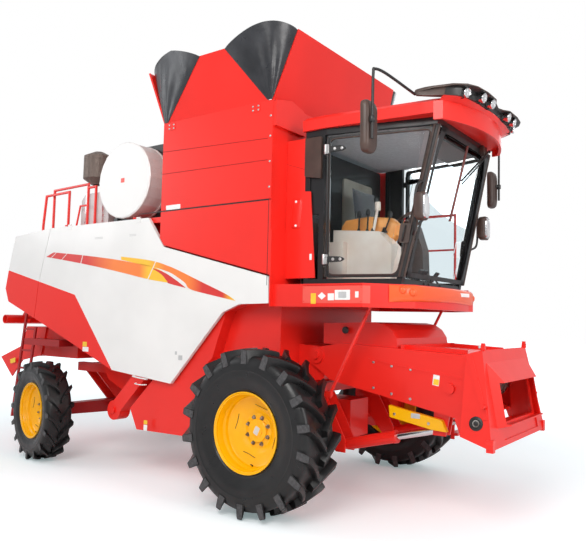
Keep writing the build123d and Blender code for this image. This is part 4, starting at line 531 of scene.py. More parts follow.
def bars_setting(end, default):
    return bpy.props.IntProperty(name=f"{end.capitalize()} bars", default=default, min=8, max=40,
                                 description=f"Tread bars on each side of a {end} tyre")


class HarvesterWheels(bpy.types.PropertyGroup):
    front_bars: bars_setting("front", 18)
    rear_bars: bars_setting("rear", 16)
    steer: bpy.props.FloatProperty(name="Steer at rest", description="How far the rear wheels stand turned",
                                   default=radians(11.2), subtype="ANGLE")


class HarvesterStage(bpy.types.PropertyGroup):
    lens: bpy.props.FloatProperty(name="Lens", description="Focal length on a 36 mm sensor", default=39.97,
                                  unit="NONE")
    floor_half: bpy.props.FloatProperty(name="Floor", description="Half width of the floor", default=60.0,
                                        unit="LENGTH")
    key_power: bpy.props.FloatProperty(name="Key light", description="Strength of the large soft light",
                                       default=1.0)
    sky: bpy.props.FloatProperty(name="Sky", description="Strength of the even light from all round",
                                 default=0.62)


# Stage
class HARVESTER_OT_stage(bpy.types.Operator):
    """Sets the camera, the pale floor and the soft studio light"""

    bl_idname = "harvester.stage"
    bl_label = "Stage"

    def execute(self, context):
        settings = context.scene.harvester_stage
        scene = context.scene
        scene.view_settings.view_transform = "Standard"
        place_camera(scene, settings.lens)
        lay_floor(settings.floor_half)
        light_sky(scene, settings.sky)
        hang_lights(settings.key_power)
        return {"FINISHED"}


def place_camera(scene, lens):
    yaw, pitch, roll = radians(CAMERA_YAW), radians(CAMERA_PITCH), radians(CAMERA_ROLL)
    forward = Vector((cos(yaw) * cos(pitch), sin(yaw) * cos(pitch), sin(pitch)))
    level = Vector((sin(yaw), -cos(yaw), 0))
    above = level.cross(forward)
    right = level * cos(roll) + above * sin(roll)
    up = -level * sin(roll) + above * cos(roll)
    data = bpy.data.cameras.new("camera")
    data.lens = lens
    data.sensor_width = 36.0
    data.clip_end = 400.0
    camera = bpy.data.objects.new("camera", data)
    matrix = Matrix((right, up, -forward)).transposed().to_4x4()
    matrix.translation = at(*CAMERA_PLACE)
    camera.matrix_world = matrix
    scene.collection.objects.link(camera)
    scene.camera = camera


def lay_floor(half):
    form = Form()
    size = half * 1000
    form.polygon([(-size, -size, 0), (size, -size, 0), (size, size, 0), (-size, size, 0)])
    mesh = bpy.data.meshes.new("floor")
    mesh.from_pydata([tuple(p / 1000) for p in form.points], [], form.faces)
    floor = bpy.data.objects.new("floor", mesh)
    bpy.context.scene.collection.objects.link(floor)
    cover = Finish("pale floor", (0.88, 0.88, 0.89), 0.9)
    cover.set("Specular IOR Level", 0.1)
    path = cover.tree.nodes.new("ShaderNodeLightPath")
    away = cover.node("ShaderNodeVectorMath", {0: cover.place}, operation="LENGTH").outputs["Value"]
    lift = cover.remap(away, 4.5, 11.0, 0.26, 0.75)
    glow = cover.node("ShaderNodeEmission", {"Color": (0.80, 1.0, 1.02, 1), "Strength": lift})
    dark = cover.node("ShaderNodeEmission", {"Color": (1, 1, 1, 1), "Strength": 0.0})
    shown = cover.node("ShaderNodeMixShader",
                       {0: path.outputs["Is Camera Ray"], 1: dark.outputs[0], 2: glow.outputs[0]})
    total = cover.node("ShaderNodeAddShader", {0: cover.shader.outputs[0], 1: shown.outputs[0]})
    output = next(n for n in cover.tree.nodes if n.type == "OUTPUT_MATERIAL")
    cover.tree.links.new(total.outputs[0], output.inputs["Surface"])
    mesh.materials.append(cover.material)


def light_sky(scene, strength):
    world = bpy.data.worlds.new("studio")
    scene.world = world
    world.use_nodes = True
    tree = world.node_tree
    tree.nodes.clear()
    path = tree.nodes.new("ShaderNodeLightPath")
    seen = tree.nodes.new("ShaderNodeMath")
    seen.operation = "ADD"
    seen.use_clamp = True
    choice = tree.nodes.new("ShaderNodeMixShader")
    output = tree.nodes.new("ShaderNodeOutputWorld")
    tree.links.new(path.outputs["Is Camera Ray"], seen.inputs[0])
    tree.links.new(path.outputs["Is Transmission Ray"], seen.inputs[1])
    tree.links.new(seen.outputs[0], choice.inputs[0])
    for slot, colour, power in ((1, (0.95, 0.97, 1.0, 1), strength), (2, (1, 1, 1, 1), 1.0)):
        back = tree.nodes.new("ShaderNodeBackground")
        back.inputs["Color"].default_value = colour
        back.inputs["Strength"].default_value = power
        tree.links.new(back.outputs[0], choice.inputs[slot])
    tree.links.new(choice.outputs[0], output.inputs["Surface"])


def hang_lights(power):
    for name, place, aim, size, watts, colour in (
            ("key", (2500, -7500, 6500), (-1200, 0, 1500), 5.0, power * 420, (1.0, 0.985, 0.96)),
            ("front", (9000, -1500, 4200), (400, 0, 1600), 4.0, power * 250, (1.0, 0.98, 0.96)),
            ("rear", (-9500, -5500, 5200), (-2500, 0, 1500), 4.0, power * 110, (0.96, 0.98, 1.0)),
            ("far", (-1000, 8500, 6000), (-1200, 0, 1800), 5.0, power * 110, (0.96, 0.98, 1.0))):
        data = bpy.data.lights.new(name, "AREA")
        data.shape = "DISK"
        data.size = size
        data.energy = watts
        data.color = colour
        lamp = bpy.data.objects.new(name, data)
        start, target = at(*place), at(*aim)
        lamp.matrix_world = (target - start).to_track_quat("-Z", "Y").to_matrix().to_4x4()
        lamp.matrix_world.translation = start
        bpy.context.scene.collection.objects.link(lamp)


# Paint on the frame's own nodes
NODE_FINISHES = {
    "red enamel": ("threshing_body", "cleaning_shoe", "grain_elevators", "grain_tank", "tank_flaps",
                   "cab_base", "cab_roof", "cab_struts", "main_frame", "drive_axle", "feeder_house",
                   "header_frame", "lift_barrel_r", "lift_barrel_l", "tow_tube", "straw_spreader",
                   "deck_rails", "platform", "ladder", "unload_auger", "auger_elbow"),
    # rear axle, knuckles and rear step take the red darkened as painted shade
    "red enamel darkened for painted shade": ("rear_axle", "knuckle_r", "knuckle_l", "rear_ladder"),
    "two tone enamel": ("side_shield_r", "side_shield_l", "rear_hood"),
    "drum cover": ("screen_drum",),
    "yellow enamel": ("safety_lock", "front_rim_r", "front_rim_l", "rear_rim_r", "rear_rim_l"),
    "tyre rubber": ("front_tyre_r", "front_tyre_l", "rear_tyre_r", "rear_tyre_l"),
    "rubber sheet": ("tank_gussets",),
    "black enamel": ("cab_frame", "door_frame_r", "door_frame_l", "radiator_housing"),
    "brown plastic": ("light_pod", "mirrors", "steering_column", "work_lamps"),
    "wire screen": ("air_cleaner",),
    "cream moulding": ("console",),
    "grey enamel": ("fuel_tank",),
    "cab glass": ("cab_glass", "door_glass_r", "door_glass_l"),
    "lamp lens": ("lamps",),
    "hard chrome": ("lift_rod_r", "lift_rod_l"),
    "bare steel": ("feeder_drum",),
    "worn steel": ("feeder_chain",),
    "seat cloth": ("seat",),
    "painted casting": ("engine",),
}


class HARVESTER_OT_paintwork(bpy.types.Operator):
    """Gives every node of the frame its paint, rubber, glass or metal"""

    bl_idname = "harvester.paintwork"
    bl_label = "Paintwork"

    def execute(self, context):
        for label, names in NODE_FINISHES.items():
            for name in names:
                paint_node(name, label)
        return {"FINISHED"}


# Wheels
BAR_RADIUS = 735     # of the tyre that the tread bars' widths are given for
WHEEL_SIZES = {
    # face: the disc from mid width; mid: mid width from the machine's middle in front, the kingpin behind
    "front": dict(radius=735.0, width=467.0, lug=62.0, flange=357.0, face=0.0, mid=1346.5),
    "rear": dict(radius=580.0, width=315.0, lug=44.0, flange=328.0, face=-30.0, mid=227.5),
}


def wheel_place(kind, side, steer):
    """Matrix from a wheel's own frame, outwards along +Y, to its place on the machine."""
    size = WHEEL_SIZES[kind]
    flip = Matrix.Diagonal((1, side, 1, 1))
    outward = Matrix.Translation((0, size["mid"], 0))
    if kind == "front":
        return Matrix.Translation((0, 0, size["radius"])) @ flip @ outward
    kingpin = Matrix.Translation((-WHEELBASE, side * KINGPIN_Y, size["radius"]))
    return kingpin @ Matrix.Rotation(-steer, 4, "Z") @ flip @ outward


def casing_profile(size):
    """Outline of the tyre's casing from the inner bead round to the outer one, as (r, y)."""
    half, tread, flange = size["width"] / 2, size["radius"] - size["lug"], size["flange"]
    span = tread - flange
    side = [(flange - 4, half * 0.80), (flange + 10, half * 0.815), (flange + 20, half * 0.85),
            (flange + 28, half * 0.84), (flange + 0.20 * span, half * 0.885),
            (flange + 0.38 * span, half * 0.965), (flange + 0.56 * span, half * 0.985),
            (flange + 0.60 * span, half * 0.9995), (flange + 0.64 * span, half * 0.995),
            (flange + 0.80 * span, half * 0.965), (flange + 0.93 * span, half * 0.88),
            (tread - 2, half * 0.74), (tread, half * 0.4), (tread + 2, 0)]
    outer = [(r, y) for r, y, _ in eased([(r, y, 0) for r, y in side], 3)]
    return [(r, -y) for r, y in outer] + [(r, y) for r, y in reversed(outer[:-1])]


def casing_radius(profile, y):
    """Radius of the casing at a distance y from mid width."""
    crown = [(r, abs(w)) for r, w in profile if r > profile[0][0] + 40]
    reach = sorted(crown, key=lambda p: -p[0])
    for r, w in reach:
        if w >= abs(y):
            return r
    return reach[-1][0]


def tread_bar(form, size, profile, start, sweep, side):
    """One bar of the tread: it leaves the crown, curves back and drops over the shoulder."""
    half, radius = size["width"] / 2, size["radius"]
    steps = 9
    sections = []
    foot_end = radius - size["lug"] * 2.2
    for step in range(steps + 1):
        t = step / steps
        y = side * (4 + (half - 7) * t)
        angle = start + sweep * (t + 0.10 * sin(pi * t))
        top = radius - 9 * t * t
        base = casing_radius(profile, y) - 10
        if t > 0.8:
            base = base + (foot_end - base) * ((t - 0.8) / 0.2) ** 0.8
        half_top = (24 + 6 * t) * radius / BAR_RADIUS
        half_base = half_top + (12 + 14 * t ** 3) * radius / BAR_RADIUS
        row = []
        for r, w in ((base, -half_base), (top - 12, -half_top - 1.5), (top, -half_top + 5),
                     (top, half_top - 5), (top - 12, half_top + 1.5), (base, half_base)):
            a = angle + w / radius
            row.append((r * sin(a), y, -r * cos(a)))
        sections.append(row)
    form.mark = 0
    form.loft(sections)
    # blunt end of the bar on the shoulder, in the lighter rubber that paints its highlight
    form.mark = 1
    end = []
    angle = start + sweep
    y = side * (half - 2.2)
    for r, w in ((foot_end, -38), (radius - 60, -34), (radius - 14, -27), (radius - 14, 27),
                 (radius - 60, 34), (foot_end, 38)):
        a = angle + w * radius / BAR_RADIUS / radius
        end.append((r * sin(a), y, -r * cos(a)))
    form.slab(end, (0, side * 2.0, 0))


def dress_tyre(kind, letter, side, settings):
    size = WHEEL_SIZES[kind]
    bars = settings.front_bars if kind == "front" else settings.rear_bars
    form = Form(wheel_place(kind, side, settings.steer))
    profile = casing_profile(size)
    rows = []
    segments = 120
    for step in range(segments):
        a = 2 * pi * step / segments
        rows.append([(r * sin(a), y, -r * cos(a)) for r, y in profile])
    form.skin(rows, loop=True)
    inner = [(size["flange"] - 22, -size["width"] * 0.39), (size["flange"] - 22, size["width"] * 0.39)]
    form.lathe(inner, 72, (0, 0, 0))
    pitch = 2 * pi / bars
    for index in range(bars):
        for way, lead in ((1, 0.8), (-1, 0.3)):
            tread_bar(form, size, profile, (index - lead) * pitch, 0.8 * pitch, way)
    name = f"{kind}_tyre_{letter}"
    tyre = form.piece("lugged_" + name, f"{kind}_wheel_{letter}", ("tyre rubber", "rubber lightened for painted highlight"), smooth=32)
    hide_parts(name)


def rim_profile(size):
    """Outline of the pressed wheel from its outer lip to the hub hole, as (r, y)."""
    lip, flange, face = size["width"] * 0.4, size["flange"], size["face"]
    return [(flange - 1, lip + 11), (flange - 3, lip + 13), (flange - 8, lip + 13), (flange - 14, lip + 6),
            (flange - 19, lip - 8), (flange - 26, lip - 18), (flange - 28, lip * 0.62),
            (flange - 32, lip * 0.56), (flange - 44, lip * 0.50), (flange - 48, lip * 0.44),
            (flange - 49, face + 76), (flange - 53, face + 62), (flange - 70, face + 50), (210, face + 34),
            (172, face + 18), (156, face + 5), (146, face + 1), (135, face + 4), (100, face + 5),
            (62, face + 5)]


def dress_rim(kind, letter, side, settings):
    size = WHEEL_SIZES[kind]
    form = Form(wheel_place(kind, side, settings.steer))
    lip, flange, face = size["width"] * 0.4, size["flange"], size["face"]
    outer = rim_profile(size)
    inner = [(62, face - 9), (135, face - 10), (150, face - 12), (flange - 76, face + 34),
             (flange - 66, face + 30), (flange - 52, -lip * 0.3), (flange - 40, -lip * 0.55),
             (flange - 26, -lip), (flange - 12, -lip - 8), (flange - 3, -lip - 12),
             (flange - 0.5, -lip - 10), (flange - 1, -lip + 1), (flange - 24, -lip + 1),
             (flange - 24, lip - 1), (flange - 1, lip + 1)]
    form.lathe(outer + inner + [outer[0]], 96, (0, 0, 0))
    # hub flange, plate and nuts
    form.turned([(104, face + 2), (104, face + 14), (98, face + 19), (60, face + 20)], 40, (0, 0, 0))
    form.turned([(58, face + 18), (58, face + 24), (52, face + 27)], 40, (0, 0, 0))
    form.mark = 1
    plate_on(form, (0, face + 27, 0), (-0.9, 0, 0.42), (0.42, 0, 0.9), 52, 74, 1.5, 4)
    form.mark = 2
    for index in range(8):
        a = 2 * pi * (index + 0.5) / 8
        x, z = NUT_CIRCLE * cos(a), NUT_CIRCLE * sin(a)
        form.bolt((x, face + 4, z), (0, 1, 0), 26, 20)
        form.turned([(8, face + 20), (8, face + 33), (5, face + 36)], 10, (x, 0, z))
    # valve, and black slabs laid on the disc: the openings between disc and rim drawn as painted shade
    # instead of holes
    form.mark = 3
    form.tube([(0, face + 66, -(flange - 56)), (0, face + 92, -(flange - 72))], 6, 8)
    for index in range(4):
        a = pi / 4 + index * pi / 2 + 0.5
        slot = []
        for w, r in ((-72, 232), (0, 219), (72, 232), (72, 236), (0, 223), (-72, 236)):
            b = a + w / 230
            y = face + 36.5 + (r - 219) * 0.43
            slot.append((r * sin(b), y, -r * cos(b)))
        form.slab(slot, (0, 1.5, 0))
    name = f"{kind}_rim_{letter}"
    wheel = form.piece("pressed_" + name, f"{kind}_wheel_{letter}",
                       ("yellow enamel", "grey enamel", "worn steel", "black trim"), smooth=38)
    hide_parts(name)


class HARVESTER_OT_wheels(bpy.types.Operator):
    """Builds the lugged tyres and the pressed, dished wheels with their nuts"""

    bl_idname = "harvester.wheels"
    bl_label = "Wheels"

    def execute(self, context):
        settings = context.scene.harvester_wheels
        for kind in WHEEL_SIZES:
            for letter, side in SIDES:
                dress_tyre(kind, letter, side, settings)
                dress_rim(kind, letter, side, settings)
        return {"FINISHED"}


class HARVESTER_OT_gussets(bpy.types.Operator):
    """Stretches the rubber corners between the tank's extension panels"""

    bl_idname = "harvester.gussets"
    bl_label = "Tank corners"

    def execute(self, context):
        for tag, root_x, side_x, lean, push in (("front", TANK_FRONT, -575.0, 210.0, (150, 165, 74)),
                                                ("rear", TANK_REAR, -942.0, -400.0, (-50, 135, 125))):
            way = 1 if tag == "front" else -1
            for letter, side in SIDES:
                gusset = rubber_corner(tag, letter, side, root_x, side_x, lean, push, way)
        return {"FINISHED"}


def rubber_corner(tag, letter, side, root_x, side_x, lean, push, way):
    low, side_top, top = 3860.3, 4405.3, 4548.3
    a0 = Vector((root_x - way * 70, BODY_HALF + 4, low + 4))
    b0 = Vector((root_x - way * 14, BODY_HALF + 4, low + 4))
    a1 = Vector((side_x - way * 10, BODY_HALF + 202, side_top - 4))
    inward = 0 if tag == "front" else 90
    b1 = Vector((root_x + lean - way * 14, BODY_HALF - 96 - inward, top - 8))
    columns, rows = 28, 18
    form = Form(Matrix.Diagonal((1, side, 1, 1)))
    grid = []
    for row in range(rows + 1):
        v = row / rows
        line = []
        for column in range(columns + 1):
            u = column / columns
            near = a0.lerp(b0, u)
            far = a1.lerp(b1, u) + Vector(push) * sin(pi * u) ** 0.8
            point = near.lerp(far, v)
            # the sheet fills out between its edges and keeps shallow folds near the foot
            swell = sin(pi * u) ** 0.9 * sin(pi * min(v * 0.62, 0.5)) * (1 - v) * 60
            fold = sin(u * pi * 7 + v * 1.4) * 13 * sin(pi * v) * (1 - 0.7 * v) * sin(pi * u)
            outward = Vector((way * 0.62, 0.78, 0))
            point += outward * (swell * 0.35 + fold)
            point.z = min(point.z, top + 18)
            line.append(point)
        grid.append(line)
    form.skin(grid)
    gusset = form.piece(f"tank_corner_{tag}_{letter}", "machine", ("rubber sheet",), smooth=60, solid=6.0)
    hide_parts("tank_gussets")
    return gusset


# Stripes and blank stickers
LOWER_STRIPE = (
    [(-3582, 2512), (-3012, 2454), (-2452, 2388), (-2125, 2340), (-1723, 2270), (-1486, 2173), (-1215, 2037)],
    [(-3737, 2460), (-3004, 2352), (-2377, 2246), (-1805, 2139), (-1482, 2093), (-1215, 2037)],
)
UPPER_STRIPE = (
    [(-2273, 2407), (-1940, 2369), (-1697, 2330), (-1520, 2284), (-1348, 2229), (-992, 2095), (-657, 1970),
     (-521, 1900)],
    [(-2271, 2371), (-1936, 2307), (-1664, 2258), (-1459, 2202), (-1344, 2150), (-1231, 2089), (-1147, 2020),
     (-831, 1956), (-521, 1900)],
)


def stripe(form, upper, lower, y, steps=40):
    """A band between two (x, z) lines on the side of the machine."""
    def along(line, t):
        path = eased([(x, 0, z) for x, z in line], 8)
        place = t * (len(path) - 1)
        index = min(int(place), len(path) - 2)
        return path[index].lerp(path[index + 1], place - index)

    rows = [[], []]
    for step in range(steps + 1):
        t = step / steps
        for row, line in zip(rows, (upper, lower)):
            p = along(line, t)
            row.append((p.x, y, p.z))
    form.skin(rows)


def slash(form, start, end, width, y):
    (x0, z0), (x1, z1) = start, end
    form.polygon([(x0, y, z0), (x0 + width, y, z0), (x1 + width, y, z1), (x1, y, z1)])


class HARVESTER_OT_stripes(bpy.types.Operator):
    """Lays the printed stripes on both side panels"""

    bl_idname = "harvester.stripes"
    bl_label = "Stripes"

    def execute(self, context):
        for letter, side in SIDES:
            body = "side_shield_" + letter
            y = side * (BODY_HALF + SKIN)
            over = side * (BODY_HALF + SKIN + 0.6)
            form = Form()
            stripe(form, LOWER_STRIPE[0], LOWER_STRIPE[1], y)
            form.mark = 1
            blade_up = [(-1745, 2262), (-1600, 2225), (-1486, 2180), (-1350, 2112), (-1215, 2037)]
            blade_low = [(-1745, 2256), (-1600, 2190), (-1500, 2110), (-1470, 2086), (-1215, 2035)]
            stripe(form, blade_up, blade_low, side * (BODY_HALF + SKIN + 0.3))
            form.mark = 2
            stripe(form, UPPER_STRIPE[0], UPPER_STRIPE[1], y)
            form.mark = 3
            for start, end in (((-3640, 2440), (-3518, 2512)), ((-3420, 2405), (-3295, 2492)),
                               ((-3024, 2350), (-2987, 2456)), ((-1815, 2134), (-1697, 2330))):
                slash(form, start, end, 14, over)
            stripes = form.piece("stripes_" + letter, body,
                                 ("lower stripe", "stripe blade", "upper stripe", "white enamel"),
                                 smooth=0)
        return {"FINISHED"}


# Rounded shapes shared by the cab's fittings
def rounded(corners, radius, steps=6):
    """Points of a flat outline whose corners are eased by the given radius."""
    points = []
    count = len(corners)
    for i in range(count):
        here = Vector(corners[i])
        before, after = Vector(corners[i - 1]) - here, Vector(corners[(i + 1) % count]) - here
        cut = min(radius, before.length * 0.49, after.length * 0.49)
        start, end = here + before.normalized() * cut, here + after.normalized() * cut
        for step in range(steps + 1):
            t = step / steps
            points.append(start * (1 - t) ** 2 + here * 2 * t * (1 - t) + end * t * t)
    return points


def rectangle(width, height):
    return [(-width / 2, -height / 2, 0), (width / 2, -height / 2, 0), (width / 2, height / 2, 0),
            (-width / 2, height / 2, 0)]


def pillow(form, stations, corner, steps=6):
    """A housing lofted along +Z through rounded rectangles, each (z, width, height, dx, dy)."""
    rings = []
    for z, width, height, dx, dy in stations:
        ring = rounded(rectangle(width, height), min(corner, width * 0.48, height * 0.48), steps)
        rings.append([(p.x + dx, p.y + dy, z) for p in ring])
    form.loft(rings)


def ring_frame(form, outer, inner, shift):
    """A flat frame between two outlines with the same number of points, thickened along shift."""
    shift = Vector(shift)
    count = len(outer)
    front = [form.add(p) for p in outer] + [form.add(p) for p in inner]
    back = [form.add(Vector(p) + shift) for p in outer] + [form.add(Vector(p) + shift) for p in inner]
    for i in range(count):
        j = (i + 1) % count
        form.face(front[i], front[j], front[count + j], front[count + i])
        form.face(back[j], back[i], back[count + i], back[count + j])
        form.face(front[j], front[i], back[i], back[j])
        form.face(front[count + i], front[count + j], back[count + j], back[count + i])


def plate_on(form, centre, along, up, width, height, thick=1.2, corner=4.0):
    """A thin rounded plate whose face looks along (along x up)."""
    along, up = Vector(along).normalized(), Vector(up).normalized()
    normal = along.cross(up).normalized()
    outline = [Vector(centre) + along * p.x + up * p.y for p in rounded(rectangle(width, height), corner, 3)]
    form.slab(outline, normal * thick)


def label(form, x, y, z, width, height, thick=1.0, corner=4):
    """A blank label or small plate on a right-hand side wall."""
    plate_on(form, (x, y, z), (1, 0, 0), (0, 0, 1), width, height, thick, corner)


def side_plate(form, y, outline, shift):
    """A flat plate at y from its (x, z) outline, thickened along y."""
    form.slab([(x, y, z) for x, z in outline], (0, shift, 0))


# Cab
SILL, EAVES = 2125.0, 3500.0
DOOR_X, DOOR_HALF, DOOR_TURN = 350.0, 850.0, 11.47
DOOR_AHEAD = 14.0     # how far the front edge stays behind the pillar's line


def pillar_x(z):
    return 1075 + (z - SILL) * 310 / (EAVES - SILL)


def side_y(x):
    return DOOR_HALF - (x - DOOR_X) * 210 / 1035


def on_door(x, z, out=0.0):
    """A point of the right door's plane, out millimetres proud of it."""
    turn = radians(DOOR_TURN)
    return (x + out * sin(turn), -side_y(x) - out * cos(turn), z)


def on_screen(share, z, out=0.0):
    """A point of the windscreen's border, share from -1 at its right edge to 1 at its left."""
    return (pillar_x(z) + 32 + out, share * (side_y(pillar_x(z)) - 30), z)


def on_glass(y, z, out):
    """A point in front of the windscreen."""
    return Vector((pillar_x(z) + 52 + out, y, z))


def facing(side):
    return Matrix.Diagonal((1, -side, 1, 1))


class HARVESTER_OT_doors(bpy.types.Operator):
    """Frames the cab doors with rounded seals, hinge blocks, latches and edge tubes"""

    bl_idname = "harvester.doors"
    bl_label = "Doors"

    def execute(self, context):
        for letter, side in SIDES:
            seal_door(letter, side)
            hang_door(letter, side)
        return {"FINISHED"}


def seal_door(letter, side):
    """The rounded seal round the pane, its bead and the tubes down the rear edge."""
    form = Form(facing(side))
    low, high, rear = 2130.0, 3474.0, 362.0
    corners = [(rear, low, 0), (pillar_x(low) - DOOR_AHEAD, low, 0), (pillar_x(high) - DOOR_AHEAD, high, 0),
               (rear, high, 0)]
    inset = 24.0
    inner = [(rear + inset, low + inset, 0), (pillar_x(low) - DOOR_AHEAD - inset * 1.1, low + inset, 0),
             (pillar_x(high) - DOOR_AHEAD - inset * 1.1, high - inset, 0),
             (rear + inset, high - inset, 0)]
    outer = [on_door(p.x, p.y, 8) for p in rounded(corners, 44, 8)]
    hole = [on_door(p.x, p.y, 8) for p in rounded(inner, 62, 8)]
    turn = radians(DOOR_TURN)
    ring_frame(form, outer, hole, (-26 * sin(turn), 26 * cos(turn), 0))
    # inner seal, a lighter bead round the pane
    form.mark = 1
    bead = [on_door(p.x, p.y, 10) for p in rounded(inner, 62, 8)]
    form.tube(bead + bead[:1], 6, 8)
    form.mark = 2
    # tubes down the rear edge
    form.tube([on_door(rear + 6, low + 6, 14), on_door(rear + 6, high - 6, 14)], 9, 12)
    form.tube([on_door(rear + 30, low + 6, 13), on_door(rear + 30, high - 6, 13)], 6, 12)
    frame_piece = form.piece("door_seal_" + letter, "door_" + letter,
                             ("black trim", "brown plastic", "black enamel"), smooth=40)
    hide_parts("door_frame_" + letter)


def hang_door(letter, side):
    """The hinge blocks with their straps, and the latch with its handle."""
    turn = radians(DOOR_TURN)
    form = Form(facing(side))
    for z in (2300.0, 3350.0):
        # silver knuckle, and the black strap that carries the pane
        form.mark = 0
        plate_on(form, on_door(368, z, 4), (1, 0, 0), (0, 0, 1), 44, 92, 30, 8)
        form.turned([(13, -48), (15, -44), (15, 44), (13, 48)], 16, on_door(348, z, 22), axis="Z")
        form.mark = 1
        strap = rounded([(380, z - 30, 0), (520, z - 24, 0), (556, z, 0), (520, z + 24, 0),
                         (380, z + 30, 0)], 18, 4)
        outline = [on_door(p.x, p.y, 12) for p in strap]
        form.slab(outline, (14 * sin(turn), -14 * cos(turn), 0))
        form.mark = 0
        for x in (440, 510):
            form.bolt(on_door(x, z, 26), (sin(turn), -cos(turn), 0), 20, 10)
    # latch housing on the front edge, with its handle
    form.mark = 2
    edge = pillar_x(2515) - DOOR_AHEAD
    latch = rounded([(edge - 100, 2440, 0), (edge - 6, 2428, 0), (edge + 22, 2606, 0),
                     (edge - 78, 2612, 0)], 22, 5)
    form.slab([on_door(p.x, p.y, 10) for p in latch], (24 * sin(turn), -24 * cos(turn), 0))
    form.mark = 1
    grip = eased([on_door(edge - 60, 2450, 36), on_door(edge - 52, 2480, 58),
                  on_door(edge - 40, 2540, 60), on_door(edge - 30, 2590, 36)], 6)
    form.tube(grip, 8, 10)
    hinges = form.piece("door_hinges_" + letter, "door_" + letter,
                        ("bare steel", "black trim", "brown plastic"), smooth=40, bevel=2.0)


class HARVESTER_OT_cab_trim(bpy.types.Operator):
    """Trims the cab: pillar tubes, windscreen seal, tinted band, wiper, lining and rear wall"""

    bl_idname = "harvester.cab_trim"
    bl_label = "Cab trim"

    def execute(self, context):
        trim_pillars()
        border_windscreen()
        tint_windscreen()
        make_wiper()
        line_cab()
        return {"FINISHED"}


def trim_pillars():
    form = Form()
    for side in (-1, 1):
        # rounded tubes along both edges of the front pillars, in brown plastic as painted highlight on the
        # black pillar's edges
        form.mark = 0
        for shift, out, r in ((-16, 12, 13), (26, 2, 11)):
            path = [(pillar_x(z) + shift, side * (side_y(pillar_x(z)) + out), z)
                    for z in (SILL + 6, 2600, 3050, EAVES - 10)]
            form.tube(path, r, 12)
        form.mark = 1
        path = [(pillar_x(z) + 6, side * (side_y(pillar_x(z)) + 10), z) for z in (SILL + 6, EAVES - 10)]
        form.tube(path, 17, 12)
        # cover behind the door post
        form.mark = 2
        outline = rounded([(119, 3112, 0), (306, 3078, 0), (306, 3486, 0), (119, 3486, 0)], 14, 4)
        form.slab([(p.x, side * 851, p.y) for p in outline], (0, side * 28, 0))
        # dark quarter glass under it
        form.mark = 3
        side_plate(form, side * 851, ((-108, 2128), (248, 2128), (182, 2965), (-108, 2995)), side * 8)
        side_plate(form, side * 851, ((-108, 2996), (110, 2972), (110, 3496), (-108, 3496)), side * 3)
        # thin line across the skin in the red darkened as painted shade
        form.mark = 5
        side_plate(form, side * 854, ((-108, 3262), (110, 3186), (110, 3190), (-108, 3266)), side * 1)
        form.mark = 3
        # swelling cover plate on that skin, with its two bolts, and a blank label
        swelling = [(-62, -150, 0), (48, -150, 0), (70, 150, 0), (-50, 150, 0)]
        rings = []
        for out, grow in ((0, 1.0), (9, 0.96), (17, 0.84), (21, 0.6)):
            rings.append([(20 + p.x * grow, side * (859 + out), 2760 + p.y * grow)
                          for p in rounded(swelling, 34, 5)])
        form.loft(rings)
        form.mark = 4
        for z in (2640, 2875):
            form.bolt((24, side * 877, z), (0, side, 0), 18, 9)
        plate_on(form, (196, side * 860, 2330), (side * -1, 0, 0), (0, 0, 1), 26, 60, 1.0, 4)
    trim = form.piece("pillar_trim", "machine",
                      ("brown plastic", "black trim", "brown plastic", "red enamel", "sticker white",
                       "red enamel darkened for painted shade"), smooth=40)


def border_windscreen():
    form = Form()
    # black border round the windscreen, following its lean
    for low, high in ((SILL + 10, SILL + 52), (EAVES - 60, EAVES - 12)):
        form.skin([[on_screen(s, z, 3) for s in (-1.0, -0.9, -0.5, 0.0, 0.5, 0.9, 1.0)] for z in (low, high)])
    for side in (-1, 1):
        rows = []
        for step in range(13):
            z = SILL + 10 + (EAVES - 22 - SILL) * step / 12
            # the border widens into a curve at the upper corners
            wide = 0.07 + 0.13 * max(0.0, (step - 9) / 3) ** 2 + 0.06 * max(0.0, (2 - step) / 2) ** 2
            rows.append([on_screen(side * 1.0, z, 3), on_screen(side * (1 - wide), z, 3)])
        form.skin(rows)
    border = form.piece("screen_border", "machine", ("black trim",), smooth=40, solid=3.0)


def tint_windscreen():
    form = Form()
    rows = []
    for z in (3205, 3300, 3400, EAVES - 50):
        rows.append([on_screen(s / 6 * 0.93, z, -9) for s in range(-6, 7)])
    form.skin(rows)
    band = form.piece("tinted_band", "machine", ("tinted film",), smooth=40)


def make_wiper():
    # motor box at the upper left corner, two thin arms and a long blade
    form = Form()
    form.mark = 1
    form.place = Matrix.Translation(on_glass(380, 3462, 8)) @ Matrix.Rotation(radians(-13), 4, "Y")
    pillow(form, [(-55, 46, 70, 0, 0), (-30, 60, 100, 0, 0), (40, 60, 100, 0, 0), (60, 40, 70, 0, 0)], 16)
    form.place = Matrix.Identity(4)
    form.mark = 0
    pivot, hold = on_glass(374, 3452, 66), on_glass(-78, 3085, 44)
    form.tube([pivot, hold], 9, 8)
    form.tube([pivot + Vector((4, -40, -46)), hold + Vector((0, 12, -30))], 7, 8)
    form.bolt(pivot + Vector((4, 0, 0)), (1, 0, 0), 24, 14)
    form.mark = 2
    top, foot = on_glass(-60, 3420, 20), on_glass(-95, 2700, 20)
    blade = [top.lerp(foot, t / 8) for t in range(9)]
    rings = []
    for index, point in enumerate(blade):
        wide = 4 + 20 * (1 - abs(index - 4) / 4)
        rings.append([point + Vector((0, -wide, 0)), point + Vector((14, -2, 0)), point + Vector((14, 2, 0)),
                      point + Vector((0, wide, 0)), point + Vector((-12, 0, 0))])
    form.loft(rings)
    wiper = form.piece("wiper", "machine", ("black trim", "brown plastic", "wiper blade"), smooth=40)


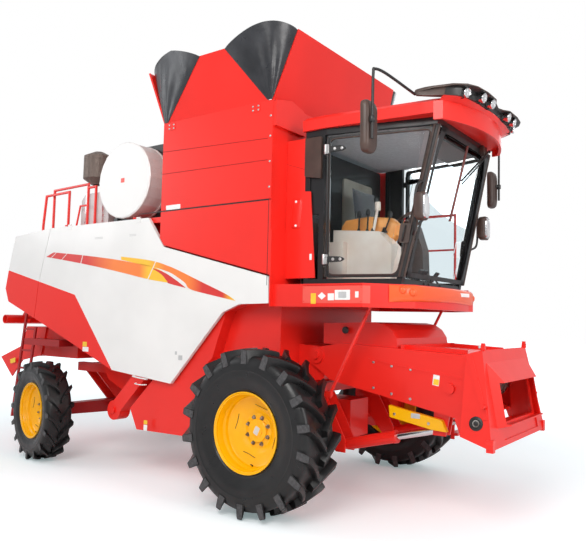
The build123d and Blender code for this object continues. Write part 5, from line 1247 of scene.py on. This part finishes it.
def line_cab():
    # lining under the roof and the dark wall behind the seat
    form = Form()
    rows = []
    for x, half, z in ((30, 800, 3478), (350, 810, 3486), (800, 720, 3488), (1330, 610, 3484)):
        rows.append([(x, half * s / 6, z - 10 * (1 - (s / 6) ** 4) + 10 * abs(s / 6) ** 8)
                     for s in range(-6, 7)])
    form.skin(rows)
    form.mark = 1
    outline = rounded([(-790, 2075, 0), (790, 2075, 0), (790, 3470, 0), (-790, 3470, 0)], 40, 4)
    form.slab([(30, p.x, p.y) for p in outline], (12, 0, 0))
    form.mark = 2
    outline = rounded([(-60, 2560, 0), (560, 2560, 0), (560, 3260, 0), (-60, 3260, 0)], 40, 4)
    form.slab([(46, p.x, p.y) for p in outline], (14, 0, 0))
    lining = form.piece("cab_lining", "machine", ("roof lining", "rear wall", "beige moulding"), smooth=30,
                        solid=4.0)


MIRROR_OUTLINE = [(-92, -214, 0), (92, -214, 0), (98, 214, 0), (-98, 214, 0)]


class HARVESTER_OT_mirrors(bpy.types.Operator):
    """Models the mirrors, their bent arms and the work lamps beside the windscreen"""

    bl_idname = "harvester.mirrors"
    bl_label = "Mirrors and work lamps"

    def execute(self, context):
        make_mirrors()
        make_work_lamps()
        return {"FINISHED"}


def make_mirrors():
    form = Form()
    for side in (-1, 1):
        form.place = facing(side)
        centre = Vector((1160, -1470, 3290))
        rings = []
        for x, scale_y, scale_z in ((-42, 0.30, 0.36), (-40, 0.62, 0.74), (-30, 0.86, 0.92),
                                    (-14, 0.97, 0.985), (4, 1.0, 1.0), (22, 0.99, 0.995), (30, 0.96, 0.985)):
            ring = []
            for p in rounded(MIRROR_OUTLINE, 70, 8):
                bow = -8 * (p.y / 214) ** 2
                ring.append(centre + Vector((bow - x, p.x * scale_y, p.y * scale_z)))
            rings.append(ring)
        form.mark = 0
        form.loft(rings)
        form.mark = 1
        face = [centre + Vector((-31 - 8 * (p.y / 214) ** 2, p.x * 0.9, p.y * 0.94))
                for p in rounded(MIRROR_OUTLINE, 66, 8)]
        form.slab(face, (-1.5, 0, 0))
        form.mark = 2
        arm = eased([(1264, -852, 3721), (1262, -900, 3724), (1240, -1340, 3752), (1222, -1500, 3744),
                     (1218, -1522, 3700), (1216, -1524, 3400), (1216, -1524, 3170)], 7)
        form.tube(arm, 12, 12)
        form.turned([(20, -26), (25, -18), (25, 18), (20, 26)], 20, (1214, -1522, 3330), axis="Z")
        form.tube([(1214, -1522, 3330), (1200, -1496, 3330), (1186, -1478, 3330)], 16, 12)
    mirrors = form.piece("side_mirrors", "machine", ("brown plastic", "mirror glass", "black trim"),
                         smooth=50)
    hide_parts("mirrors")


def make_work_lamps():
    form = Form()
    for side in (-1, 1):
        flip = facing(side)
        form.place = flip @ Matrix.Translation((1290, -775, 2740)) @ Matrix.Rotation(radians(90), 4, "Y")
        # housing, deeper at the back, with a round chrome lamp in front
        form.mark = 0
        pillow(form, [(-52, 130, 80, 0, 0), (-44, 190, 110, 0, 0), (-20, 244, 134, 0, 0),
                      (36, 250, 138, 0, 0), (46, 240, 128, 0, 0)], 48, 8)
        form.mark = 1
        pillow(form, [(40, 218, 116, 0, 0), (50, 222, 120, 0, 0), (58, 216, 114, 0, 0)], 56, 10)
        form.mark = 2
        pillow(form, [(56, 200, 100, 0, 0), (62, 188, 90, 0, 0), (68, 150, 60, 0, 0), (70, 90, 20, 0, 0)],
               48, 10)
        form.place = flip
        form.mark = 3
        arm = eased([(pillar_x(2980) - 6, -side_y(pillar_x(2980)) - 12, 2972), (1268, -720, 2972),
                     (1244, -752, 2935), (1232, -770, 2820), (1232, -772, 2640), (1222, -752, 2545),
                     (1180, -700, 2508),
                     (pillar_x(2500) - 10, -side_y(pillar_x(2500)) - 12, 2500)], 6)
        form.tube(arm, 11, 12)
    lamps = form.piece("work_lamp_pair", "machine",
                       ("brown plastic", "hard chrome", "lamp lens", "black trim"), smooth=45)
    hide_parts("work_lamps")


POD_LAMPS = ((-640, -60, -14), (-430, 0, -4), (-230, 0, -4), (230, 0, 4), (430, 0, 4), (640, -60, 14))


class HARVESTER_OT_light_pod(bpy.types.Operator):
    """Shapes the light bar over the windscreen with its end caps and six round lamps"""

    bl_idname = "harvester.light_pod"
    bl_label = "Light bar"

    def execute(self, context):
        shape_light_bar()
        set_bar_lamps()
        return {"FINISHED"}


def shape_light_bar():
    form = Form()
    # spine of the bar: distance from the middle, x of the rear and the front edge, underside and top
    stations = ((0, 1668, 1718, 3700, 3770), (120, 1650, 1738, 3698, 3778), (200, 1622, 1768, 3694, 3786),
                (420, 1585, 1768, 3692, 3787), (600, 1540, 1745, 3692, 3787), (700, 1470, 1700, 3692, 3786),
                (780, 1360, 1600, 3694, 3784), (835, 1262, 1440, 3702, 3776), (849, 1252, 1360, 3712, 3766))
    full = [(-y, *rest) for y, *rest in reversed(stations[1:])] + list(stations)
    rings = []
    for y, rear, front, low, high in full:
        mid = (low + high) / 2
        deep = min(1.0, (front - rear) / 150)
        rings.append([(rear + 10, y, low + 6), (rear, y, mid), (rear + 14, y, high - 4),
                      ((rear + front) / 2, y, high), (front - 16, y, high - 3), (front, y, high - 12),
                      (front - 3, y, high - 20), (front - 82 * deep, y, high - 26),
                      (front - 92 * deep, y, mid), (front - 96 * deep, y, low)])
    form.loft(rings)
    # dark lining of the recess behind the lamps
    form.mark = 1
    rows = []
    for shift, level in ((-5, -21), (-80, -27.5), (-90, -60), (-93, -92)):
        row = []
        for y, rear, front, low, high in full[2:-2]:
            deep = min(1.0, (front - rear) / 150)
            row.append((front + shift * deep, y, max(high + level, low + 2)))
        rows.append(row)
    form.skin(rows)
    # red brow that rises from the roof's front edge to the lamps
    form.mark = 2
    rows = [[], [], []]
    for y, rear, front, low, high in full[2:-2]:
        edge = 1655 - 175 * (y / 750) ** 2
        reach = front - 98 * min(1.0, (front - rear) / 150)
        for row, (x, z) in zip(rows, ((edge - 4, 3662), ((edge + reach) / 2, 3684), (reach, 3697))):
            row.append((x, y, z))
    form.skin(rows)
    pod = form.piece("light_bar", "machine", ("brown plastic", "black trim", "red enamel"), smooth=38)
    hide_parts("light_pod")


def set_bar_lamps():
    form = Form()
    for y, back, turn in POD_LAMPS:
        face_x = 1772 - abs(y) * 0.06 + back
        form.place = (Matrix.Translation((face_x - 26, y, 3728)) @ Matrix.Rotation(radians(turn), 4, "Z")
                      @ Matrix.Rotation(radians(12), 4, "Y") @ Matrix.Rotation(radians(90), 4, "Y"))
        form.mark = 0
        form.turned([(26, -58), (34, -40), (41, -12), (42, 2), (45, 6), (45, 16), (41, 20), (38, 15)], 32,
                    (0, 0, 0), axis="Z")
        form.mark = 1
        form.turned([(38, 12), (34, 16), (20, 19), (2, 20)], 32, (0, 0, 0), axis="Z")
        form.mark = 2
        form.lathe([(37, 11), (28, 2), (14, -8), (2, -10)], 32, (0, 0, 0), axis="Z")
        form.mark = 3
        form.tube([(26, 0, -10), (46, 0, -22), (48, 0, -48)], 6, 8)
    lamps = form.piece("bar_lamps", "machine", ("hard chrome", "lamp lens", "bare steel", "black trim"),
                       smooth=45)
    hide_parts("lamps")


class HARVESTER_OT_interior(bpy.types.Operator):
    """Furnishes the cab with its padded seat, armrests, levers, console and pedals"""

    bl_idname = "harvester.interior"
    bl_label = "Cab interior"

    def execute(self, context):
        make_seat_base()
        upholster_seat()
        make_armrests()
        make_console_and_pedals()
        return {"FINISHED"}


def make_seat_base():
    form = Form()
    # suspension base with its bellows
    rings = []
    for step in range(9):
        z = CAB_FLOOR + 2 + step * 38
        w = 240 if step % 2 else 262
        d = 300 if step % 2 else 326
        rings.append([(510 + p.x * w / 260, p.y * d / 326, z) for p in rounded(rectangle(260, 326), 40, 4)])
    form.loft(rings)
    form.mark = 1
    form.block((330, -220, CAB_FLOOR + 310), (740, 220, CAB_FLOOR + 330))
    for side in (-1, 1):
        form.tube(eased([(330, side * 235, CAB_FLOOR + 420), (300, side * 262, CAB_FLOOR + 560),
                         (330, side * 285, CAB_FLOOR + 585), (600, side * 285, CAB_FLOOR + 590)], 5), 14, 10)
    base = form.piece("seat_base", "machine", ("rubber sheet", "black trim"), smooth=40)
    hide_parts("seat")


def upholster_seat():
    cushion = pad("seat_cushion", (540, 0, CAB_FLOOR + 388), (472, 492, 116),
                  Matrix.Rotation(radians(-3), 4, "Y"), channels=3)
    back = pad("seat_back", (318, 0, CAB_FLOOR + 745), (104, 470, 596),
               Matrix.Rotation(radians(-8.5), 4, "Y"), channels=4, upright=True)
    for piece in (cushion, back):
        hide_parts("seat")


def make_armrests():
    form = Form()
    for side in (-1, 1):
        place = Matrix.Translation((470, side * 285, CAB_FLOOR + 600))
        form.place = place @ Matrix.Rotation(radians(90), 4, "Y")
        pillow(form, [(-140, 30, 50, 0, 0), (-125, 44, 66, 0, 0), (125, 44, 66, 0, 0), (142, 30, 50, 0, 0)],
               16)
    arms = form.piece("seat_armrests", "machine", ("rubber sheet",), smooth=40)


def make_console_and_pedals():
    form = Form()
    # levers on the console, with knobs and gaiters
    for x, y, lean, tall in ((640, -450, 34, 300), (560, -420, 10, 190), (500, -480, 6, 170),
                             (760, -440, 60, 150)):
        foot = Vector((x, y, CAB_FLOOR + 520))
        top = foot + Vector((lean, 0, tall))
        form.mark = 0
        form.turned([(34, 0), (30, 12), (22, 22), (15, 40), (10, 52)], 16, foot, axis="Z")
        form.tube([foot, foot.lerp(top, 0.6), top], 8, 10)
        form.turned([(10, -14), (18, -6), (22, 12), (22, 34), (15, 52), (5, 58)], 16, top, axis="Z")
    # pedals
    form.mark = 0
    for y in (-230, -120, 150):
        form.place = Matrix.Translation((1010, y, CAB_FLOOR + 120)) @ Matrix.Rotation(radians(-50), 4, "Y")
        pillow(form, [(-8, 130, 76, 0, 0), (8, 130, 76, 0, 0)], 14)
        form.place = Matrix.Identity(4)
        form.tube([(1010, y, CAB_FLOOR + 110), (1080, y, CAB_FLOOR + 30), (1082, y, CAB_FLOOR)], 9, 8)
    # moulded armrest console beside the seat
    form.mark = 1
    rings = []
    for x, half_width, low, high in ((250, 60, 2480, 2690), (300, 78, 2440, 2740), (560, 82, 2440, 2760),
                                     (800, 74, 2500, 2730), (860, 52, 2560, 2680)):
        rings.append([(x, p.x - 330, p.y) for p in
                      rounded([(-half_width, low, 0), (half_width, low, 0), (half_width, high, 0),
                               (-half_width, high, 0)], 40, 4)])
    form.loft(rings)
    levers = form.piece("levers", "machine", ("black trim", "orange moulding"), smooth=40)


def pad(name, centre, size, turn, channels, upright=False):
    """A crowned upholstered pad with sewn channels across it."""
    depth, width, height = size
    form = Form(Matrix.Translation(centre) @ turn)
    n, m = 26, 26
    thick = depth if upright else height
    long = height if upright else depth

    def place(u, v, w):
        # u along the pad, v across it, w through its thickness
        return (w, v, u) if upright else (u, v, w)

    def sheet_rows(way):
        rows = []
        for i in range(n + 1):
            u = -1 + 2 * i / n
            row = []
            for j in range(m + 1):
                v = -1 + 2 * j / m
                edge = (1 - abs(u) ** 5) ** 0.5 * (1 - abs(v) ** 5) ** 0.5
                crown = 0.62 + 0.38 * (1 - u * u) * (1 - v * v)
                seam = 1 - 0.22 * max(0.0, cos(channels * pi * (u + 1))) ** 14 * edge
                pinch = 1 - 0.035 * (1 - abs(u * v)) * (abs(u) ** 8 + abs(v) ** 8)
                w = way * thick / 2 * edge * crown * (seam if way > 0 else 1)
                row.append(place(u * long / 2 * pinch, v * width / 2 * pinch, w))
            rows.append(row)
        return rows

    form.skin(sheet_rows(1))
    form.skin([list(reversed(row)) for row in sheet_rows(-1)])
    # piping round the edge
    form.mark = 1
    ring = []
    for k in range(72):
        a = 2 * pi * k / 72
        u = (abs(cos(a)) ** 0.35) * (1 if cos(a) >= 0 else -1)
        v = (abs(sin(a)) ** 0.35) * (1 if sin(a) >= 0 else -1)
        ring.append(place(u * long / 2 * 0.955, v * width / 2 * 0.955, 0))
    form.tube(ring + ring[:1], 4, 6)
    return form.piece(name, "machine", ("seat cloth", "black trim"), smooth=70)


class HARVESTER_OT_cab_band(bpy.types.Operator):
    """Adds the lighter panel, blank stickers and the rounded front corner under the cab"""

    bl_idname = "harvester.cab_band"
    bl_label = "Cab base band"

    def execute(self, context):
        lay_base_band()
        mould_fascia()
        return {"FINISHED"}


def lay_base_band():
    form = Form()
    for side in (-1, 1):
        form.place = facing(side)
        form.mark = 0
        rows = []
        for x, y in ((247, -1051.8), (880, -1051.8), (944, -975)):
            rows.append([(x, y, z) for z in (1884, 1888, 2034, 2038)])
        form.skin(rows)
        form.mark = 1
        side_plate(form, -1050.4, [(247, 2060), (880, 2060), (880, 2048), (247, 2048)], -6)
        over = -1053.2
        form.mark = 2
        label(form, 367, over, 1925, 56, 96, 1.0, 5)
        form.mark = 3
        form.slab([(459 + 44 * a, over, 1948 + 34 * b) for a, b in ((-1, 0), (0, -1), (1, 0), (0, 1))],
                  (0, -1, 0))
        label(form, 556, over, 1940, 66, 62)
        label(form, 676, over, 1957, 158, 88)
        label(form, 823, over, 1960, 34, 54)
        form.mark = 4
        label(form, 676, over - 1.2, 1957, 82, 56, 0.6, 8)
        form.mark = 1
        for x in (262, 866):
            for z in (1898, 2024):
                form.turned([(5, -2), (4, 1)], 10, (x, over, z), axis="Y")
    band = form.piece("base_band", "machine",
                      ("lighter red", "red enamel", "sticker yellow", "sticker white", "sticker grey"),
                      smooth=30)


def mould_fascia():
    form = Form()
    # moulded fascia: one swelling band from corner to corner round the nose
    slant, nose, crown = Vector((1046, -875, 0)), Vector((BASE_FRONT + 8, -BASE_NOSE_HALF, 0)), 66.0
    line = [slant.lerp(nose, t / 6) for t in range(7)]
    line += [Vector((BASE_FRONT + 8 + crown * (1 - (y / BASE_NOSE_HALF) ** 2), y, 0))
             for y in (-BASE_NOSE_HALF * (1 - k / 6) for k in range(1, 7))]
    line += [Vector((p.x, -p.y, 0)) for p in reversed(line[:-1])]
    rings = []
    for index, here in enumerate(line):
        along = (line[min(index + 1, len(line) - 1)] - line[max(index - 1, 0)]).normalized()
        out = Vector((along.y, -along.x, 0))
        middle = min(index, len(line) - 1 - index) / 12
        high, low = 2052 + 4 * middle, 1900 + 22 * middle
        swell = 4 + 24 * sin(pi / 2 * min(1.0, middle * 4)) - 8 * middle
        rings.append([here - out * 6 + out * swell * sin(pi * k / 10)
                      + Vector((0, 0, (high + low) / 2 + (high - low) / 2 * cos(pi * k / 10)))
                      for k in range(11)])
    form.loft(rings)
    form.mark = 1
    face = Vector((0.76, -0.65, 0)).normalized()
    turn = face.to_track_quat("Z", "Y").to_matrix().to_4x4()
    for side in (-1, 1):
        for x, y, z in ((1118, -778, 2008), (1180, -706, 1990)):
            form.place = facing(side) @ Matrix.Translation(Vector((x, y, z)) + face * 27) @ turn
            form.turned([(36, -16), (35, -2), (31, 7), (23, 13), (12, 16), (2, 17)], 24, (0, 0, 0), axis="Z")
    form.place = Matrix.Identity(4)
    form.mark = 2
    plate_on(form, (BASE_FRONT + 92, 240, 2006), (0.2, 1, 0), (0, 0, 1), 190, 36, 1.0, 4)
    corner = form.piece("base_fascia", "machine", ("orange enamel", "orange enamel", "sticker white"),
                        smooth=60)


class HARVESTER_OT_tank_details(bpy.types.Operator):
    """Adds the tank's seams, hinge plates with bolts, corner strips and blank sticker"""

    bl_idname = "harvester.tank_details"
    bl_label = "Tank details"

    def execute(self, context):
        form = Form()
        for side in (-1, 1):
            form.place = facing(side)
            y = -BODY_HALF
            # pressed seams of the side sheets, in the red darkened as painted shade in their creases
            form.mark = 0
            for start, end in (((-1640, 3540), (-116, 3480)), ((-1640, 3292), (-116, 3268))):
                path = [(start[0], y - 0.5, start[1]), (end[0], y - 0.5, end[1])]
                form.tube(path, 3.2, 6)
            # dark joint over the side panel
            form.mark = 1
            side_plate(form, y, [(-1992, 2872), (-137, 2872), (-137, 2884), (TANK_REAR, 2884),
                                 (-1992, 2880)], -2.0)
            side_plate(form, y, [(-142, 2050), (-137, 2050), (-137, 2872), (-142, 2872)], -1.6)
            # corner strip with its bolts
            form.mark = 2
            side_plate(form, y, [(-164, 2900), (-112, 2900), (-112, 3852), (-164, 3852)], -3.5)
            form.mark = 3
            for z in (3000, 3250, 3500, 3700):
                form.bolt((-138, y - 3.5, z), (0, -1, 0), 15, 8)
            # hinge plates under the extension panels
            for x in (-330, -1514):
                form.mark = 2
                label(form, x, y, 3806, 108, 78, 4, 8)
                form.mark = 3
                for dx in (-34, 34):
                    for dz in (-20, 20):
                        form.bolt((x + dx, y - 4, 3806 + dz), (0, -1, 0), 14, 8)
            form.mark = 4
            label(form, -1450, y, 2912, 217, 50, 1.0, 3)
        form.place = Matrix.Identity(4)
        for y in (-810, -300, 300, 810):
            form.mark = 2
            form.slab([(-110, y - 50, 3740), (-110, y + 50, 3740), (-110, y + 50, 3812),
                       (-110, y - 50, 3812)], (5, 0, 0))
            form.mark = 3
            for dy in (-28, 28):
                for dz in (-18, 18):
                    form.bolt((-105, y + dy, 3776 + dz), (1, 0, 0), 14, 8)
        seams = form.piece("tank_fittings", "machine",
                           ("red enamel darkened for painted shade", "black trim", "red enamel", "bare steel", "sticker white"),
                           smooth=35)
        return {"FINISHED"}


class HARVESTER_OT_side_details(bpy.types.Operator):
    """Adds the side panels' handle loops, vents, labels and reflectors"""

    bl_idname = "harvester.side_details"
    bl_label = "Side details"

    def execute(self, context):
        for letter, side in SIDES:
            form = Form(facing(side))
            y = -BODY_HALF - SKIN
            form.tube(eased([(-1967, y + 4, 1072), (-1960, y - 26, 1068), (-1860, y - 34, 1060),
                             (-1762, y - 26, 1052), (-1756, y + 4, 1050)], 5), 8, 10)
            form.tube(eased([(-1936, y + 4, 994), (-1930, y - 20, 990), (-1850, y - 26, 986),
                             (-1775, y - 20, 988), (-1768, y + 4, 990)], 5), 6, 10)
            form.mark = 1
            label(form, -1262, y + 1, 1306, 58, 50, 0.8)
            label(form, -1330, y + 1, 1352, 30, 34, 0.8, 3)
            form.mark = 2
            label(form, -2868, y + 1, 1384, 78, 56, 1.0, 5)
            form.mark = 3
            label(form, -2850, y + 1, 1325, 110, 54, 0.8)
            details = form.piece("panel_details_" + letter, "side_shield_" + letter,
                                 ("white enamel", "sticker grey", "sticker yellow", "sticker white"),
                                 smooth=40)
        form = Form()
        for side in (-1, 1):
            form.place = facing(side)
            y = -BODY_HALF
            # louvres in the upper panel
            form.mark = 1
            for start, end in ((-2770, -2620), (-2146, -2032)):
                for row in range(2):
                    z = 2636 + row * 14
                    side_plate(form, y, [(start, z), (end, z), (end, z + 4), (start, z + 4)], -2.0)
            # sticker and reflector low on the body
            form.mark = 2
            label(form, -1756, y - 0.4, 588, 56, 42)
            form.mark = 3
            label(form, -1756, y - 0.4, 530, 56, 62)
        louvres = form.piece("louvres", "machine",
                             ("red enamel", "sticker grey", "sticker yellow", "sticker white"), smooth=30)
        return {"FINISHED"}


class HARVESTER_OT_feeder_details(bpy.types.Operator):
    """Adds the feeder's side post, bolts, stickers, dial, ringed hubs and lock plate"""

    bl_idname = "harvester.feeder_details"
    bl_label = "Feeder details"

    def execute(self, context):
        fit_feeder()
        fit_lock_plate()
        return {"FINISHED"}


def fit_feeder():
    form = Form()
    for side in (-1, 1):
        form.place = facing(side)
        # post along the flared side of the front frame
        form.mark = 0
        flare = Vector((0, -0.98, 0.2)).normalized()
        line = [Vector((1676, -618, 1448)), Vector((1849, -721, 954))]
        across = (line[1] - line[0]).normalized().cross(flare).normalized() * 20
        form.slab([line[0] - across, line[1] - across, line[1] + across, line[0] + across], flare * 8)
        # bolts of the side wall
        form.mark = 1
        for x, z in ((759, 1355), (944, 1329), (1132, 1310), (760, 1120), (945, 1080), (1130, 1050)):
            form.bolt((x, FEEDER_WALL, z), (0, -1, 0), 18, 10)
        form.mark = 0
        side_plate(form, FEEDER_WALL, [(700, 1372), (1600, 1248), (1600, 1262), (700, 1386)], -5)
        # stickers
        form.mark = 2
        plate_on(form, (1375, -620.4, 1235), (1, 0, -0.12), (0.12, 0, 1), 60, 98, 1.0, 4)
        form.mark = 3
        plate_on(form, (1375, -621.4, 1216), (1, 0, -0.12), (0.12, 0, 1), 50, 50, 0.8, 4)
        # dial fitting on the pivot plate
        form.mark = 4
        form.turned([(34, 0), (34, -16), (28, -22), (12, -24)], 24, (456, FEEDER_WALL, 1641), axis="Y")
        # ringed hub on the flared side
        hub = Matrix.Translation((1769, -724, 915)) @ flare.to_track_quat("Z", "Y").to_matrix().to_4x4()
        keep, form.place = form.place, form.place @ hub
        form.turned([(58, -4), (58, 8), (50, 14), (40, 14), (36, 9), (22, 9), (19, 17), (8, 19)], 32,
                    (0, 0, 0), axis="Z")
        form.mark = 5
        form.turned([(30, 9), (28, 12), (22, 12)], 32, (0, 0, 0), axis="Z")
        form.place = keep
        # thrust bolts on the hook lugs
        form.mark = 1
        form.bolt((1766, -642, 1535), (0, -1, 0), 16, 9)
    feeder = form.piece("feeder_fittings", "feeder",
                        ("red enamel", "bare steel", "sticker white", "sticker yellow", "black trim",
                         "worn steel"), smooth=38)


def fit_lock_plate():
    form = Form()
    label(form, 1173, -598.4, 904, 86, 44, 1.6, 5)
    form.mark = 1
    for x in (965, 1296):
        form.bolt((x, -598, 900 if x < 1000 else 850), (0, -1, 0), 18, 10)
    plate = form.piece("lock_plate", "feeder", ("sticker grey", "bare steel"), smooth=35)


class HARVESTER_OT_rear_details(bpy.types.Operator):
    """Adds the drum cover's clips and sticker, the fuel tank's cap and straps, and the spreader's labels"""

    bl_idname = "harvester.rear_details"
    bl_label = "Rear details"

    def execute(self, context):
        fit_drum()
        fit_fuel_tank()
        mark_spreader()
        return {"FINISHED"}


def fit_drum():
    form = Form()
    centre = Vector(DRUM_CENTRE)
    form.mark = 1
    for k in range(3):
        a = k * 2 * pi / 3 + 0.3
        form.turned([(7, 0), (6, -4)], 10, centre + Vector((430 * cos(a), 0, 430 * sin(a))), axis="Y")
    form.mark = 2
    plate_on(form, centre + Vector((-12, -1, -2)), (1, 0, 0), (0, 0, 1), 62, 52, 0.8, 4)
    cover = form.piece("drum_fittings", "screen_drum", ("white enamel", "white enamel", "lighter red"),
                       smooth=40)


def fit_fuel_tank():
    form = Form()
    # cap and straps
    form.turned([(52, 0), (52, 18), (46, 26), (20, 28)], 24, (-3060, -735, 3258), axis="Z")
    form.mark = 1
    for x in (-3230, -2890):
        side_plate(form, -901, [(x - 18, 2840), (x + 18, 2840), (x + 18, 3258), (x - 18, 3258)], -2.5)
    fuel = form.piece("fuel_fittings", "machine", ("black trim", "bare steel"), smooth=40)


def mark_spreader():
    form = Form()
    # stickers on the spreader
    for side in (-1, 1):
        form.place = facing(side)
        side_plate(form, -901, [(-4772, 1096), (-4644, 1130), (-4638, 1066), (-4750, 1042)], -1)
    marks = form.piece("spreader_marks", "machine", ("sticker yellow",), smooth=0)


class HARVESTER_PT_panel(bpy.types.Panel):
    """Lists the settings and the pieces"""

    bl_label = "Harvester"
    bl_idname = "HARVESTER_PT_panel"
    bl_space_type = "VIEW_3D"
    bl_region_type = "UI"
    bl_category = "Harvester"

    def draw(self, context):
        layout = self.layout
        for group in ("harvester_paint", "harvester_wheels", "harvester_stage"):
            box = layout.box()
            settings = getattr(context.scene, group)
            for name in settings.__annotations__:
                box.prop(settings, name)
        for operator in PIECE_OPERATORS:
            layout.operator(operator.bl_idname)


PIECE_OPERATORS = (HARVESTER_OT_stage, HARVESTER_OT_paintwork, HARVESTER_OT_wheels, HARVESTER_OT_gussets,
                   HARVESTER_OT_stripes, HARVESTER_OT_doors, HARVESTER_OT_cab_trim, HARVESTER_OT_mirrors,
                   HARVESTER_OT_light_pod, HARVESTER_OT_interior, HARVESTER_OT_cab_band,
                   HARVESTER_OT_tank_details, HARVESTER_OT_side_details, HARVESTER_OT_feeder_details,
                   HARVESTER_OT_rear_details)
CLASSES = (HarvesterPaint, HarvesterWheels, HarvesterStage) + PIECE_OPERATORS + (HARVESTER_PT_panel,)


def register():
    for each in CLASSES:
        bpy.utils.register_class(each)
    bpy.types.Scene.harvester_paint = bpy.props.PointerProperty(type=HarvesterPaint)
    bpy.types.Scene.harvester_wheels = bpy.props.PointerProperty(type=HarvesterWheels)
    bpy.types.Scene.harvester_stage = bpy.props.PointerProperty(type=HarvesterStage)


def unregister():
    del bpy.types.Scene.harvester_paint
    del bpy.types.Scene.harvester_wheels
    del bpy.types.Scene.harvester_stage
    for each in reversed(CLASSES):
        bpy.utils.unregister_class(each)


def main():
    register()
    for operator in PIECE_OPERATORS:
        group, name = operator.bl_idname.split(".")
        getattr(getattr(bpy.ops, group), name)()


if __name__ == "__main__":
    main()
